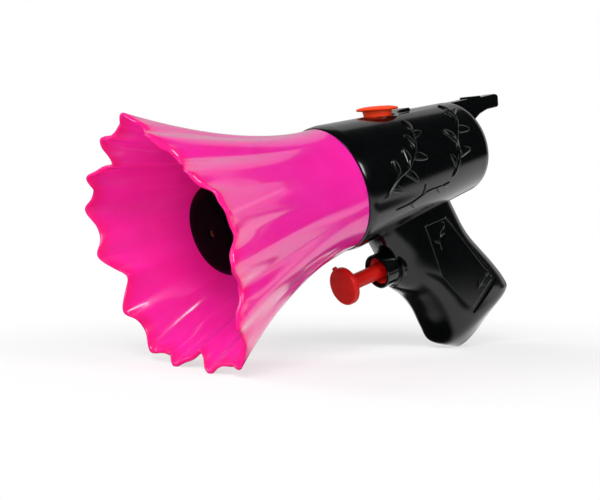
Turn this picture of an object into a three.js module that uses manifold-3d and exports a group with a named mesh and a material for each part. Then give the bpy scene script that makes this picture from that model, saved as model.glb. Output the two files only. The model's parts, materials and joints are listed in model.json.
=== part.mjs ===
// Trigger-pump water squirter in the form of a small flared pistol. Millimetres, +Z up.
// It is built level, with the barrel's axis along X through the joint of bell and barrel, the muzzle
// towards -X and the left side towards -Y. At the end it is pitched nose down until the bell's lowest
// tips and the grip's toe stand on the table, as in the photograph.
import * as THREE from 'three';
import { mergeVertices } from 'three/addons/utils/BufferGeometryUtils.js';
import Module from 'manifold-3d';

// Fits shared by all pieces
const FIT_GAP = 0.3; // between neighbouring fixed pieces
const SEAM_GAP = 0.3; // between the two body halves
const SHELL_WALL = 1.8;
const OVERSHOOT = 1; // how far a cut runs past what it cuts
const ROUND_SIDES = 36; // facets round the barrel
const SMALL_SIDES = 20; // facets round the pump's pieces
const SHOWN_SIDES = 28; // facets round the plug and the plunger
const WELD = 1e-4; // points closer than this are one

// Barrel
const JOINT_RADIUS = 21.0; // barrel's cone at the joint
const FRONT_LIP = 0.7; // barrel's front edge outside the bell's neck
const FRONT_EASE = 4.2; // length over which that edge rounds up to the cone
const FRONT_ARC = 3; // steps of the rounding
const BARREL_LENGTH = 62;
const BARREL_FALL = 5.4; // loss of radius from the joint to the rear
const REAR_RADIUS = JOINT_RADIUS - BARREL_FALL;
const REAR_ROUNDING = 4.5;
const REAR_ARC = 3; // steps round the rear edge
const BARREL_DROOP = 1.6; // the rear end's centre lies this far below the bell's axis

// Bell: five petals of three tips, with a deep notch between petals
const PETALS = 5;
const SAMPLES_PER_PETAL = 24;
const BELL_STATIONS = 8;
const BELL_WALL = 1.5;
const NECK_STEP = 1.5; // from the barrel's surface down to the bell's
const NECK_RADIUS = JOINT_RADIUS - NECK_STEP; // where the bell leaves the barrel
const NECK_TAPER = 0.16; // loss of radius per millimetre inside the barrel
const NECK_DEPTH = 8;
const NOTCH_AHEAD = 59.2; // from the joint to the foot of a deep notch
const NOTCH_FLARE = 13.9; // growth of radius from the neck to a deep notch
const NOTCH_RADIUS = NECK_RADIUS + NOTCH_FLARE;
const FLARE_POWER = 1.36;
const PETAL_POWER = 2.5; // how late the flutes grow towards the rim
const SIDE_TIP_ANGLE = 21; // degrees from a petal's middle
const TIP_AHEAD = { middle: 2.8, side: 4.2, scallop: 2.2 }; // forward of a deep notch
const TIP_OUT = { middle: 8, side: 4.2, scallop: 1.4 }; // outward of it
const RIM_LEAN = 1; // lead of the rim's top over its middle

// Muzzle nose inside the bell
const NOSE_CLEARANCE = 4.9; // from the bell's neck in to the nose
const NOSE_RADIUS = NECK_RADIUS - NOSE_CLEARANCE;
const NOSE_AHEAD = 45.2; // from the joint to its flat front
const NOSE_ROUNDING = 6;
const NOSE_ARC = 5; // steps round the edge
const NOSE_WALL = 1.6;
const NOSE_APERTURE = 1.5;
const FLANGE_THICKNESS = 3;
const FLANGE_SHOULDER = 3; // flange beyond the tube
const TANK_OVERLAP = 0.5; // tank's hollow run into the neck's seat
const SOCKET_RADIUS = 2.3; // takes a hose or the nozzle's body
const SOCKET_WALL = 1.9;
const SOCKET_LENGTH = 8;

// Hoses
const HOSE_RADIUS = SOCKET_RADIUS - FIT_GAP;
const HOSE_BORE = 1.2;
const HOSE_BEND = 10;
const HOSE_STEPS = 22;
const HOSE_SIDES = 8;

// Nozzle
const NOZZLE_RECESS = 0.7; // its tip behind the nose's front
const NOZZLE_BODY = 4.5;
const NOZZLE_BORE = 0.5;

// Grip: front and rear edges in pairs from the barrel down to the butt, and half widths
const GRIP_FRONT = [[15, -13], [15.3, -21], [18, -29], [18.8, -37.6], [24.6, -44.3], [28.2, -50.6],
  [30.2, -58], [32.2, -63.6]];
const GRIP_REAR = [[46.5, -12], [48.6, -20.3], [50.3, -27], [52.7, -31.8], [56.4, -37.4], [60.5, -43.4],
  [64.4, -49.9], [65.6, -53.8]];
const GRIP_HALF = [8, 8.8, 9.7, 10, 10.1, 10.1, 9.8, 8.8];
const BUTT_FRONT = [39.6, -68];
const BUTT_REAR = [62, -57.4];
const BUTT_HALF = 5;
const GRIP_WALL = 2.6;
const GRIP_STEPS = 2; // sections per span
const GRIP_SIDES = 30;
const FRONT_SQUARENESS = 2.9;
const REAR_SQUARENESS = 4;
const PANEL = [[31.5, -21.5], [40.5, -21.5], [57, -48.5], [43.5, -56], [33, -39.5]];
const PANEL_FLOOR = 9; // half width across the two sunken panels
const HOLLOW_STOP = 0.55; // part of the last span that stays solid at the butt

// Fin and sight pad on top, as side outlines: the fin from the top of the barrel's rear end, and the
// pad from the filler's place on the barrel
const FIN = [[-24, -2], [-8, 0.5], [2.4, -0.5], [7, -0.9], [7.3, -0.3], [12.4, -1.1], [12.6, -1.7],
  [19.4, -2.2], [20.5, -2.6], [21, -3.4], [20.4, -6.5], [19.7, -7], [14.5, -6.6], [10.6, -7.2],
  [6, -9.2], [3, -11.5], [0, -15], [-6, -20], [-12, -16]];
const FIN_HALF = 2.7;
const FIN_EDGE = 0.5;
const EDGE_STEPS = 2; // steps round a plate's edge
const SIGHT_PAD = [[4.5, -4], [5.9, -0.9], [7.5, -0.4], [11.8, -0.7], [13.2, -3.6]];
const SIGHT_PAD_HALF = 3;

// Filler
const FILLER_AT = 28.5; // behind the joint
const FILLER_TILT = 11; // degrees that the lid falls towards the rear
const LID_RADIUS = 6.9;
const LID_HEIGHT = 1.8; // rim of the lid above the barrel
const LID_EDGE = 0.9;
const LID_CROWN = 0.6;
const CROWN_SHARE = { out: 0.55, up: 0.8 }; // a point on the crown, of the lid's radius and of its rise
const SHOULDER_RADIUS = 4.9; // thickened stem under the lid
const SHOULDER_RISE = 1.2; // its top above the barrel
const SHOULDER_FOOT = 0.3; // its foot below the barrel's top
const PLUG_RADIUS = 4.6;
const PLUG_WALL = 1.3;
const PLUG_DEPTH = 5;
const FILLER_WALL = 1.4;

// Pump
const PUMP_DROP = 31.7; // pump axis below the barrel's axis
const COLLAR_FRONT = 13.4;
const COLLAR_RADIUS = 5.8;
const COLLAR_STEP = 19; // where the collar meets its boss
const BOSS_RADIUS = 7.2;
const BOSS_OVERLAP = 2; // boss run into the grip
const CRADLE_LENGTH = 4; // hold on the cylinder's front end
const BUSH_RADIUS = 4.55;
const BUSH_RECESS = 1.3; // bush face behind the collar's mouth
const BUSH_DISH = 1.5;
const BUSH_FLANGE = 1.1;
const CYLINDER_FRONT = 21.6;
const CYLINDER_REAR = 45.2;
const CYLINDER_RADIUS = 5.4;
const CYLINDER_BORE = 4.3;
const END_CAP_FLANGE = 1.5;
const END_CAP_SPIGOT = 1.7;
const RIB_AT = 44.2; // rear rib that carries the cylinder
const RIB_LENGTH = 1.6;
const RIB_HEIGHT = 6;

// Plunger
const PAD_FRONT = -2;
const PAD_RADIUS = 6.25;
const PAD_THICKNESS = 2.4;
const PAD_EDGE = 0.6;
const STEM_RADIUS = 2.55;
const STEM_ROOT = 0.5; // extra radius where the stem meets the pad
const STEM_CLEARANCE = 0.35;
const PISTON_RADIUS = 3.9;
const PISTON_LENGTH = 4.6;
const SEAL_RADIUS = 3.45; // middle of the seal ring
const SEAL_WIRE = 0.6;
const SEAL_SIDES = 6;
const STROKE = 10;

// Springs
const SPRING_RADIUS = 3.2;
const SPRING_WIRE = 0.35;
const SPRING_TURNS = 7;
const VALVE_SPRING_RADIUS = 1.2;
const VALVE_SPRING_WIRE = 0.2;
const VALVE_SPRING_TURNS = 4;
const CURL_STEPS = 8;
const WIRE_SIDES = 5;
const GAP_SAMPLES = 4; // points measured per step of a curl

// Valves on the cylinder's rear end: the outlet stands up, the inlet hangs down
const VALVE_AT = 40.4;
const VALVE_RADIUS = 3.2;
const VALVE_BORE = 2.1;
const PORT_RADIUS = 1;
const BALL_RADIUS = 1.6;
const BALL_FACETS = { round: 14, up: 10 };
const PORT_LENGTH = 2.4; // from the bore's wall to the chamber
const OUTLET_CHAMBER = 9;
const INLET_CHAMBER = 8;
const VALVE_SPIGOT = 1.7;
const INLET_SPIGOT = 3.6;
const VALVE_FLANGE = 1.5;
const VALVE_SOCKET = 4;
const SUCTION_END = -62.5; // foot of the suction hose, in the grip's toe

// Search for the resting pitch, in degrees
const PITCH_RANGE = [8, 28];
const PITCH_STEP = 1e-5;

// Finishes
const black = new THREE.MeshStandardMaterial({ color: 0x0b0b0d, roughness: 0.22, metalness: 0 });
const pink = new THREE.MeshStandardMaterial({ color: 0xee2896, roughness: 0.25, metalness: 0 });
const red = new THREE.MeshStandardMaterial({ color: 0xc8200f, roughness: 0.35, metalness: 0 });
const orange = new THREE.MeshStandardMaterial({ color: 0xd8330f, roughness: 0.4, metalness: 0 });
const natural = new THREE.MeshStandardMaterial({ color: 0xe4e2da, roughness: 0.5, metalness: 0 });
const clear = new THREE.MeshStandardMaterial({ color: 0xd5dde0, roughness: 0.3, metalness: 0 });
const rubber = new THREE.MeshStandardMaterial({ color: 0x1a1a1a, roughness: 0.8, metalness: 0 });
const steel = new THREE.MeshStandardMaterial({ color: 0xb9bcc0, roughness: 0.3, metalness: 1 });

const wasm = await Module();
wasm.setup();
const group = new THREE.Group();
group.name = 'water_squirter';
const solids = new Map();

const radians = THREE.MathUtils.degToRad;

// Six times the signed volume of a triangle list, to tell a shape that is inside out
function signedVolume(position, index) {
  let sum = 0;
  const corner = [0, 1, 2].map(() => new THREE.Vector3());
  for (let i = 0; i < index.length; i += 3) {
    corner.forEach((c, k) => c.fromBufferAttribute(position, index[i + k]));
    sum += corner[0].dot(corner[1].cross(corner[2]));
  }
  return sum;
}

// Turns a closed three.js shape into a solid for cutting and joining
function solid(geometry) {
  const plain = geometry.clone();
  plain.deleteAttribute('normal');
  plain.deleteAttribute('uv');
  const merged = mergeVertices(plain, WELD);
  const position = merged.attributes.position;
  const faces = [];
  for (let i = 0; i < merged.index.count; i += 3) {
    const [a, b, c] = [0, 1, 2].map((k) => merged.index.getX(i + k));
    if (a !== b && b !== c && c !== a) faces.push(a, b, c);
  }
  if (signedVolume(position, faces) < 0) {
    for (let i = 0; i < faces.length; i += 3) faces.splice(i, 2, faces[i + 1], faces[i]);
  }
  const mesh = new wasm.Mesh({
    numProp: 3,
    vertProperties: new Float32Array(position.array),
    triVerts: new Uint32Array(faces),
  });
  return new wasm.Manifold(mesh);
}

const join = (...parts) => wasm.Manifold.union(parts);

// A solid of revolution from points of [distance along, radius], laid along X
function turned(points, sides = SMALL_SIDES) {
  const profile = points.map(([along, radius]) => new THREE.Vector2(radius, along));
  return new THREE.LatheGeometry(profile, sides).rotateZ(-Math.PI / 2);
}

// The same, standing along Z
function upright(points, sides = SMALL_SIDES) {
  return turned(points, sides).rotateY(-Math.PI / 2);
}

const closed = (points) => [...points, points[0]];

// A rod along X between two stations
function rod(from, to, radius, sides = SMALL_SIDES) {
  return turned([[from, 0], [from, radius], [to, radius], [to, 0]], sides);
}

// A side outline of [x, z] points thickened about the middle plane
function plate(points, half, edge = 0) {
  const shape = new THREE.Shape(points.map(([x, z]) => new THREE.Vector2(x, z)));
  const depth = 2 * (half - edge);
  const options = {
    depth,
    bevelEnabled: edge > 0,
    bevelThickness: edge,
    bevelSize: edge,
    bevelOffset: -edge,
    bevelSegments: EDGE_STEPS,
  };
  const form = new THREE.ExtrudeGeometry(shape, options);
  return form.translate(0, 0, -depth / 2).rotateX(Math.PI / 2);
}

// A ring-shaped or round section drawn along a path
function drawn(path, radius, bore, steps, sides) {
  const ring = (r) => Array.from({ length: sides }, (_, i) => {
    const turn = (2 * Math.PI * i) / sides;
    return new THREE.Vector2(r * Math.cos(turn), r * Math.sin(turn));
  });
  const shape = new THREE.Shape(ring(radius));
  if (bore > 0) shape.holes.push(new THREE.Path(ring(bore)));
  return new THREE.ExtrudeGeometry(shape, { steps, extrudePath: path, bevelEnabled: false });
}

class Helix extends THREE.Curve {
  constructor(radius, length, turns) {
    super();
    Object.assign(this, { radius, length, turns });
  }

  getPoint(t) {
    const turn = 2 * Math.PI * this.turns * t;
    return new THREE.Vector3(this.length * t, this.radius * Math.cos(turn), this.radius * Math.sin(turn));
  }
}

// A wound spring along X, with its least gap between neighbouring turns printed
function spring(name, radius, wire, turns, length) {
  const path = new Helix(radius, length - 2 * wire, turns);
  const points = path.getSpacedPoints(turns * CURL_STEPS * GAP_SAMPLES);
  let least = Infinity;
  points.forEach((p, i) => points.slice(i + (CURL_STEPS * GAP_SAMPLES) / 2).forEach((q) => {
    least = Math.min(least, p.distanceTo(q) - 2 * wire);
  }));
  console.log(`${name}: least gap to itself ${least.toFixed(2)} mm`);
  return drawn(path, wire, 0, turns * CURL_STEPS, WIRE_SIDES).translate(wire, 0, 0);
}

function keep(name, body, material) {
  solids.set(name, { body, material });
}

// Bell
const petalPitch = 360 / PETALS;

// 1 on the crown of a lobe and 0 in the crease between two, for 0 to 1 from crown to crown
const lobed = (turn) => (1 + Math.cos(2 * Math.PI * turn)) / 2;

// How far the rim stands from the foot of a deep notch, by angle from the top
function rimReach(angle, tip) {
  const beside = Math.abs(angle - petalPitch * Math.round(angle / petalPitch));
  if (beside > SIDE_TIP_ANGLE) {
    return tip.side * lobed((beside - SIDE_TIP_ANGLE) / (petalPitch - 2 * SIDE_TIP_ANGLE));
  }
  const t = beside / SIDE_TIP_ANGLE;
  const crest = THREE.MathUtils.lerp(tip.middle, tip.side, THREE.MathUtils.smoothstep(t, 0, 1));
  return crest - tip.scallop * (1 - lobed(t));
}

const bellRadius = (share) => NECK_RADIUS + (NOTCH_RADIUS - NECK_RADIUS) * share ** FLARE_POWER;
const neckEndRadius = NECK_RADIUS - NECK_TAPER * NECK_DEPTH;
const shares = Array.from({ length: BELL_STATIONS + 1 }, (_, i) => i / BELL_STATIONS);
const bellOutside = shares.map((share) => [-NOTCH_AHEAD * share, bellRadius(share)]);
const bellInside = bellOutside.map(([along, radius]) => [along, radius - BELL_WALL]).reverse();
const bellProfile = [[NECK_DEPTH, neckEndRadius], ...bellOutside, ...bellInside,
  [NECK_DEPTH, neckEndRadius - BELL_WALL]];
const bellForm = turned(closed(bellProfile), PETALS * SAMPLES_PER_PETAL);
const bellPoints = bellForm.attributes.position;
for (let i = 0; i < bellPoints.count; i += 1) {
  const [x, y, z] = [bellPoints.getX(i), bellPoints.getY(i), bellPoints.getZ(i)];
  const growth = Math.max(0, -x / NOTCH_AHEAD) ** PETAL_POWER;
  const angle = THREE.MathUtils.radToDeg(Math.atan2(y, z));
  const out = 1 + (rimReach(angle, TIP_OUT) * growth) / Math.hypot(y, z);
  const ahead = rimReach(angle, TIP_AHEAD) + (RIM_LEAN * z) / Math.hypot(y, z);
  bellPoints.setXYZ(i, x - ahead * growth, y * out, z * out);
}
keep('bell', solid(bellForm), pink);

// Muzzle nose: a tube with a rounded end that stands out of the barrel inside the bell
const flangeFront = NECK_DEPTH + FIT_GAP;
const flangeRear = flangeFront + FLANGE_THICKNESS;
const noseFront = -NOSE_AHEAD;
const noseEdge = (inset) => Array.from({ length: NOSE_ARC + 1 }, (_, i) => {
  const turn = (Math.PI / 2) * (i / NOSE_ARC);
  const rounding = NOSE_ROUNDING - inset;
  const centre = [noseFront + NOSE_ROUNDING, NOSE_RADIUS - NOSE_ROUNDING];
  return [centre[0] - rounding * Math.cos(turn), centre[1] + rounding * Math.sin(turn)];
});
const socketRadius = SOCKET_RADIUS + SOCKET_WALL;
const socketFront = noseFront + NOSE_WALL;
const socketRear = socketFront + SOCKET_LENGTH;
const flangeRadius = NOSE_RADIUS + FLANGE_SHOULDER;
const noseProfile = [[noseFront, NOSE_APERTURE], ...noseEdge(0), [flangeFront, NOSE_RADIUS],
  [flangeFront, flangeRadius], [flangeRear, flangeRadius], [flangeRear, NOSE_RADIUS - NOSE_WALL],
  ...noseEdge(NOSE_WALL).reverse(), [socketFront, socketRadius], [socketRear, socketRadius],
  [socketRear, SOCKET_RADIUS], [socketFront, SOCKET_RADIUS], [socketFront, NOSE_APERTURE]];
keep('muzzle_nose', solid(turned(closed(noseProfile), ROUND_SIDES)), black);

// Nozzle: pushed into the nose's socket from behind, its tip in the aperture
const nozzleTip = noseFront + NOZZLE_RECESS;
const nozzleShoulder = socketFront + FIT_GAP;
const nozzleEnd = nozzleShoulder + NOZZLE_BODY;
const nozzleProfile = [[nozzleTip, NOZZLE_BORE], [nozzleTip, NOSE_APERTURE - FIT_GAP],
  [nozzleShoulder, NOSE_APERTURE - FIT_GAP], [nozzleShoulder, HOSE_RADIUS], [nozzleEnd, HOSE_RADIUS],
  [nozzleEnd, NOZZLE_BORE]];
keep('nozzle', solid(turned(closed(nozzleProfile))), red);

// Body: barrel, grip, fin, pads and collar joined, hollowed, then parted along the middle plane
const taper = (JOINT_RADIUS - REAR_RADIUS) / BARREL_LENGTH;
const barrelRadius = (along) => JOINT_RADIUS - taper * along;
const droop = new THREE.Matrix4().makeShear(0, -BARREL_DROOP / BARREL_LENGTH, 0, 0, 0, 0);
const barrelTop = (along) => barrelRadius(along) - (BARREL_DROOP * along) / BARREL_LENGTH;

// Rear end of the barrel, rounded into a flat back
function rearEnd(inset) {
  const rounding = REAR_ROUNDING - inset;
  const centre = BARREL_LENGTH - REAR_ROUNDING;
  const radius = barrelRadius(centre) - REAR_ROUNDING;
  const arc = Array.from({ length: REAR_ARC + 1 }, (_, i) => {
    const turn = (Math.PI / 2) * (i / REAR_ARC);
    return [centre + rounding * Math.sin(turn), radius + rounding * Math.cos(turn)];
  });
  return [...arc, [BARREL_LENGTH - inset, 0]];
}

const frontEdge = NECK_RADIUS + FRONT_LIP;
const frontRise = barrelRadius(FRONT_EASE) - frontEdge;
const frontRound = Array.from({ length: FRONT_ARC + 1 }, (_, i) => {
  const turn = (Math.PI / 2) * (i / FRONT_ARC);
  return [FRONT_EASE * (1 - Math.cos(turn)), frontEdge + frontRise * Math.sin(turn)];
});
const barrelProfile = [[0, 0], ...frontRound, ...rearEnd(0)];
const barrel = turned(barrelProfile, ROUND_SIDES).applyMatrix4(droop);

// Front of the hollow: a tapered seat for the bell's neck
const seatRadius = (along) => NECK_RADIUS + FIT_GAP - NECK_TAPER * along;
const seatProfile = [[-OVERSHOOT, 0], [-OVERSHOOT, seatRadius(-OVERSHOOT)],
  [flangeFront, seatRadius(flangeFront)], [flangeFront, 0]];
const neckSeat = turned(seatProfile, ROUND_SIDES);

// Behind it: a pocket for the nose's flange, a stop rib, and the tank
const stopFront = flangeRear + FIT_GAP;
const stopRear = stopFront + SHELL_WALL;
const tankRadius = (along) => barrelRadius(along) - SHELL_WALL;
const stopRadius = NOSE_RADIUS + FIT_GAP;
const tankFront = flangeFront - TANK_OVERLAP;
const tankProfile = [[tankFront, 0], [tankFront, tankRadius(flangeFront)],
  [stopFront, tankRadius(stopFront)], [stopFront, stopRadius], [stopRear, stopRadius],
  [stopRear, tankRadius(stopRear)], ...rearEnd(SHELL_WALL)];
const tank = turned(tankProfile, ROUND_SIDES).applyMatrix4(droop);

// Grip: a drum whose rings are drawn out to rounded sections between its front and rear edges
const curve2 = (points) => new THREE.SplineCurve(points.map(([x, z]) => new THREE.Vector2(x, z)));
const gripFront = curve2([...GRIP_FRONT, BUTT_FRONT]);
const gripRear = curve2([...GRIP_REAR, BUTT_REAR]);
const gripHalf = curve2([...GRIP_HALF, BUTT_HALF].map((half, i) => [i, half]));

function grip(inset, end) {
  const sections = GRIP_FRONT.length * GRIP_STEPS;
  const form = new THREE.CylinderGeometry(1, 1, 1, GRIP_SIDES, sections);
  const position = form.attributes.position;
  const round = (value, power) => Math.sign(value) * Math.abs(value) ** (2 / power);
  for (let i = 0; i < position.count; i += 1) {
    const t = (0.5 - position.getY(i)) * end;
    const front = gripFront.getPoint(t);
    const rear = gripRear.getPoint(t);
    const middle = front.clone().add(rear).multiplyScalar(0.5);
    const reach = rear.clone().sub(middle);
    reach.setLength(reach.length() - inset);
    const [along, across] = [position.getX(i), position.getZ(i)];
    const power = along < 0 ? FRONT_SQUARENESS : REAR_SQUARENESS;
    const centre = Math.hypot(along, across) < 0.5;
    const u = centre ? 0 : round(along, power);
    const v = centre ? 0 : round(across, power) * (gripHalf.getPoint(t).y - inset);
    position.setXYZ(i, middle.x + reach.x * u, v, middle.y + reach.y * u);
  }
  return form;
}

const gripLength = GRIP_FRONT.length;
const gripInside = solid(grip(GRIP_WALL, (gripLength - HOLLOW_STOP) / gripLength));

// Pump's seat in the body
const alongPump = (geometry) => geometry.translate(0, 0, -PUMP_DROP);
const pocketRadius = CYLINDER_RADIUS + FIT_GAP;
const bushBore = BUSH_RADIUS + FIT_GAP;
const bushFlangeFront = CYLINDER_FRONT - FIT_GAP - BUSH_FLANGE;
const pocketFront = bushFlangeFront - FIT_GAP;
const bossEnd = pocketFront + BOSS_OVERLAP;
const collarProfile = [[COLLAR_FRONT, 0], [COLLAR_FRONT, COLLAR_RADIUS], [COLLAR_STEP, COLLAR_RADIUS],
  [COLLAR_STEP, BOSS_RADIUS], [bossEnd, BOSS_RADIUS], [bossEnd, 0]];
const collar = solid(alongPump(turned(collarProfile)));
const cradle = solid(alongPump(rod(pocketFront, CYLINDER_FRONT + CRADLE_LENGTH, BOSS_RADIUS)));
const ribWidth = 2 * GRIP_HALF[2] - SHELL_WALL;
const ribForm = new THREE.BoxGeometry(RIB_LENGTH, ribWidth, RIB_HEIGHT).translate(RIB_AT, 0, 0);
const rib = solid(alongPump(ribForm));
const bushWay = solid(alongPump(rod(COLLAR_FRONT - OVERSHOOT, pocketFront, bushBore)));
const pocketRear = CYLINDER_REAR + END_CAP_FLANGE + 2 * FIT_GAP;
const cylinderWay = solid(alongPump(rod(pocketFront, pocketRear, pocketRadius)));

// Filler: everything about it stands on its own tilted axis
const fillerPlace = new THREE.Matrix4()
  .makeTranslation(FILLER_AT, 0, barrelTop(FILLER_AT))
  .multiply(new THREE.Matrix4().makeRotationY(radians(FILLER_TILT)));
const atFiller = (geometry) => geometry.applyMatrix4(fillerPlace);
const fillerBore = PLUG_RADIUS + FIT_GAP;
const post = (radius, low, high) => upright([[low, 0], [low, radius], [high, radius], [high, 0]]);
const neckFoot = OVERSHOOT - PLUG_DEPTH;
const fillerNeck = solid(atFiller(post(fillerBore + FILLER_WALL, neckFoot, -SHELL_WALL / 2)));
const fillerHole = solid(atFiller(post(fillerBore, -PLUG_DEPTH - OVERSHOOT, LID_HEIGHT)));

const panel = (side) => {
  const cut = plate(PANEL, PANEL_FLOOR / 2);
  return solid(cut.translate(0, side * (PANEL_FLOOR + PANEL_FLOOR / 2), 0));
};
const from = (along, up) => ([x, z]) => [along + x, up + z];
const finOutline = FIN.map(from(BARREL_LENGTH, barrelTop(BARREL_LENGTH)));
const padOutline = SIGHT_PAD.map(from(FILLER_AT, barrelTop(FILLER_AT)));
const fin = solid(plate(finOutline, FIN_HALF, FIN_EDGE));
const sightPad = solid(plate(padOutline, SIGHT_PAD_HALF));
const outside = join(solid(barrel), solid(grip(0, 1)), fin, sightPad, collar);
const hollow = join(solid(neckSeat), solid(tank), gripInside);
const fittings = join(cradle, rib, fillerNeck).intersect(outside);
const body = outside.subtract(hollow).add(fittings)
  .subtract(join(bushWay, cylinderWay, fillerHole, panel(1), panel(-1)));
keep('body_left', body.trimByPlane([0, -1, 0], SEAM_GAP / 2), black);
keep('body_right', body.trimByPlane([0, 1, 0], SEAM_GAP / 2), black);

// Filler plug, hollow from below
const lidTop = LID_HEIGHT + LID_EDGE / 2;
const lidEdge = LID_RADIUS - LID_EDGE / 2;
const plugBore = PLUG_RADIUS - PLUG_WALL;
const plugProfile = [[lidTop + LID_CROWN, 0],
  [lidTop + LID_CROWN * CROWN_SHARE.up, LID_RADIUS * CROWN_SHARE.out], [lidTop, lidEdge],
  [LID_HEIGHT, LID_RADIUS], [LID_HEIGHT - LID_EDGE / 2, lidEdge], [SHOULDER_RISE, SHOULDER_RADIUS],
  [-SHOULDER_FOOT, PLUG_RADIUS], [-PLUG_DEPTH, PLUG_RADIUS - FIT_GAP], [-PLUG_DEPTH, plugBore],
  [SHOULDER_FOOT, plugBore], [SHOULDER_FOOT, 0]];
keep('filler_plug', solid(atFiller(upright(plugProfile, SHOWN_SIDES))), orange);

// Pump pieces
const bushFront = COLLAR_FRONT + BUSH_RECESS;
const stemWay = STEM_RADIUS + STEM_CLEARANCE;
const bushRear = bushFlangeFront + BUSH_FLANGE;
const bushProfile = [[bushFront, BUSH_RADIUS], [bushFlangeFront, BUSH_RADIUS],
  [bushFlangeFront, CYLINDER_RADIUS], [bushRear, CYLINDER_RADIUS], [bushRear, stemWay],
  [bushFront + BUSH_DISH, stemWay], [bushFront, BUSH_RADIUS - FIT_GAP]];
keep('gland_bush', solid(alongPump(turned(closed(bushProfile)))), red);

const pistonFront = bushRear + FIT_GAP;
const pistonRear = pistonFront + PISTON_LENGTH;
const padRear = PAD_FRONT + PAD_THICKNESS;
const grooveHalf = SEAL_WIRE + FIT_GAP;
const grooveMiddle = (pistonFront + pistonRear) / 2;
const grooveFloor = SEAL_RADIUS - SEAL_WIRE - FIT_GAP;
const grooveFront = grooveMiddle - grooveHalf;
const grooveRear = grooveMiddle + grooveHalf;
const plungerProfile = [[PAD_FRONT, 0], [PAD_FRONT, PAD_RADIUS - PAD_EDGE],
  [PAD_FRONT + PAD_EDGE, PAD_RADIUS], [padRear - PAD_EDGE, PAD_RADIUS], [padRear, PAD_RADIUS - PAD_EDGE],
  [padRear, STEM_RADIUS + STEM_ROOT], [padRear + 2 * STEM_ROOT, STEM_RADIUS],
  [pistonFront, STEM_RADIUS], [pistonFront, PISTON_RADIUS], [grooveFront, PISTON_RADIUS],
  [grooveFront, grooveFloor], [grooveRear, grooveFloor], [grooveRear, PISTON_RADIUS],
  [pistonRear, PISTON_RADIUS], [pistonRear, 0]];
keep('plunger', solid(alongPump(turned(plungerProfile, SHOWN_SIDES))), red);
const ring = new THREE.TorusGeometry(SEAL_RADIUS, SEAL_WIRE, SEAL_SIDES, SMALL_SIDES)
  .rotateY(Math.PI / 2)
  .translate(grooveMiddle, 0, 0);
keep('piston_seal', solid(alongPump(ring)), rubber);

const springFront = pistonRear + FIT_GAP;
const springRear = CYLINDER_REAR - END_CAP_SPIGOT - FIT_GAP;
const springLength = springRear - springFront;
const returnSpring = spring('return_spring', SPRING_RADIUS, SPRING_WIRE, SPRING_TURNS, springLength);
keep('return_spring', solid(alongPump(returnSpring.translate(springFront, 0, 0))), steel);
console.log(`return_spring: ${(springLength - STROKE).toFixed(1)} mm long when pressed home`);

const capFront = CYLINDER_REAR - END_CAP_SPIGOT;
const capSeat = CYLINDER_REAR + FIT_GAP;
const capProfile = [[capFront, 0], [capFront, CYLINDER_BORE - FIT_GAP],
  [capSeat, CYLINDER_BORE - FIT_GAP], [capSeat, CYLINDER_RADIUS],
  [capSeat + END_CAP_FLANGE, CYLINDER_RADIUS], [capSeat + END_CAP_FLANGE, 0]];
keep('pump_end_cap', solid(alongPump(turned(capProfile))), natural);

// Cylinder with its two valve chambers
const portTop = CYLINDER_BORE + PORT_LENGTH;
const outletTop = portTop + OUTLET_CHAMBER;
const inletFoot = -portTop - INLET_CHAMBER;
const atValves = (geometry) => geometry.translate(VALVE_AT, 0, -PUMP_DROP);
const tower = solid(atValves(post(VALVE_RADIUS, inletFoot, outletTop)));
const chambers = join(
  solid(atValves(post(VALVE_BORE, portTop, outletTop + OVERSHOOT))),
  solid(atValves(post(VALVE_BORE, inletFoot - OVERSHOOT, -portTop))),
  solid(atValves(post(PORT_RADIUS, -portTop - OVERSHOOT, portTop + OVERSHOOT))),
);
const boreForm = rod(CYLINDER_FRONT - OVERSHOOT, CYLINDER_REAR + OVERSHOOT, CYLINDER_BORE);
const pumpBore = solid(alongPump(boreForm));
const cylinder = solid(alongPump(rod(CYLINDER_FRONT, CYLINDER_REAR, CYLINDER_RADIUS)))
  .add(tower)
  .subtract(join(pumpBore, chambers));
keep('pump_cylinder', cylinder, natural);

// A stepped plug for the end of a valve chamber, with a socket for its hose
function valvePlug(spigot) {
  const flangeEnd = VALVE_FLANGE + FIT_GAP;
  const socketEnd = flangeEnd + VALVE_SOCKET;
  const spigotRadius = VALVE_BORE - FIT_GAP;
  return closed([[-spigot, PORT_RADIUS], [-spigot, spigotRadius], [FIT_GAP, spigotRadius],
    [FIT_GAP, VALVE_RADIUS], [socketEnd, VALVE_RADIUS], [socketEnd, SOCKET_RADIUS],
    [flangeEnd, SOCKET_RADIUS], [flangeEnd, PORT_RADIUS]]);
}

keep('outlet_cap', solid(atValves(upright(valvePlug(VALVE_SPIGOT)).translate(0, 0, outletTop))), natural);
const inletSeat = upright(valvePlug(INLET_SPIGOT)).rotateX(Math.PI).translate(0, 0, inletFoot);
keep('inlet_seat', solid(atValves(inletSeat)), natural);

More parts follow.
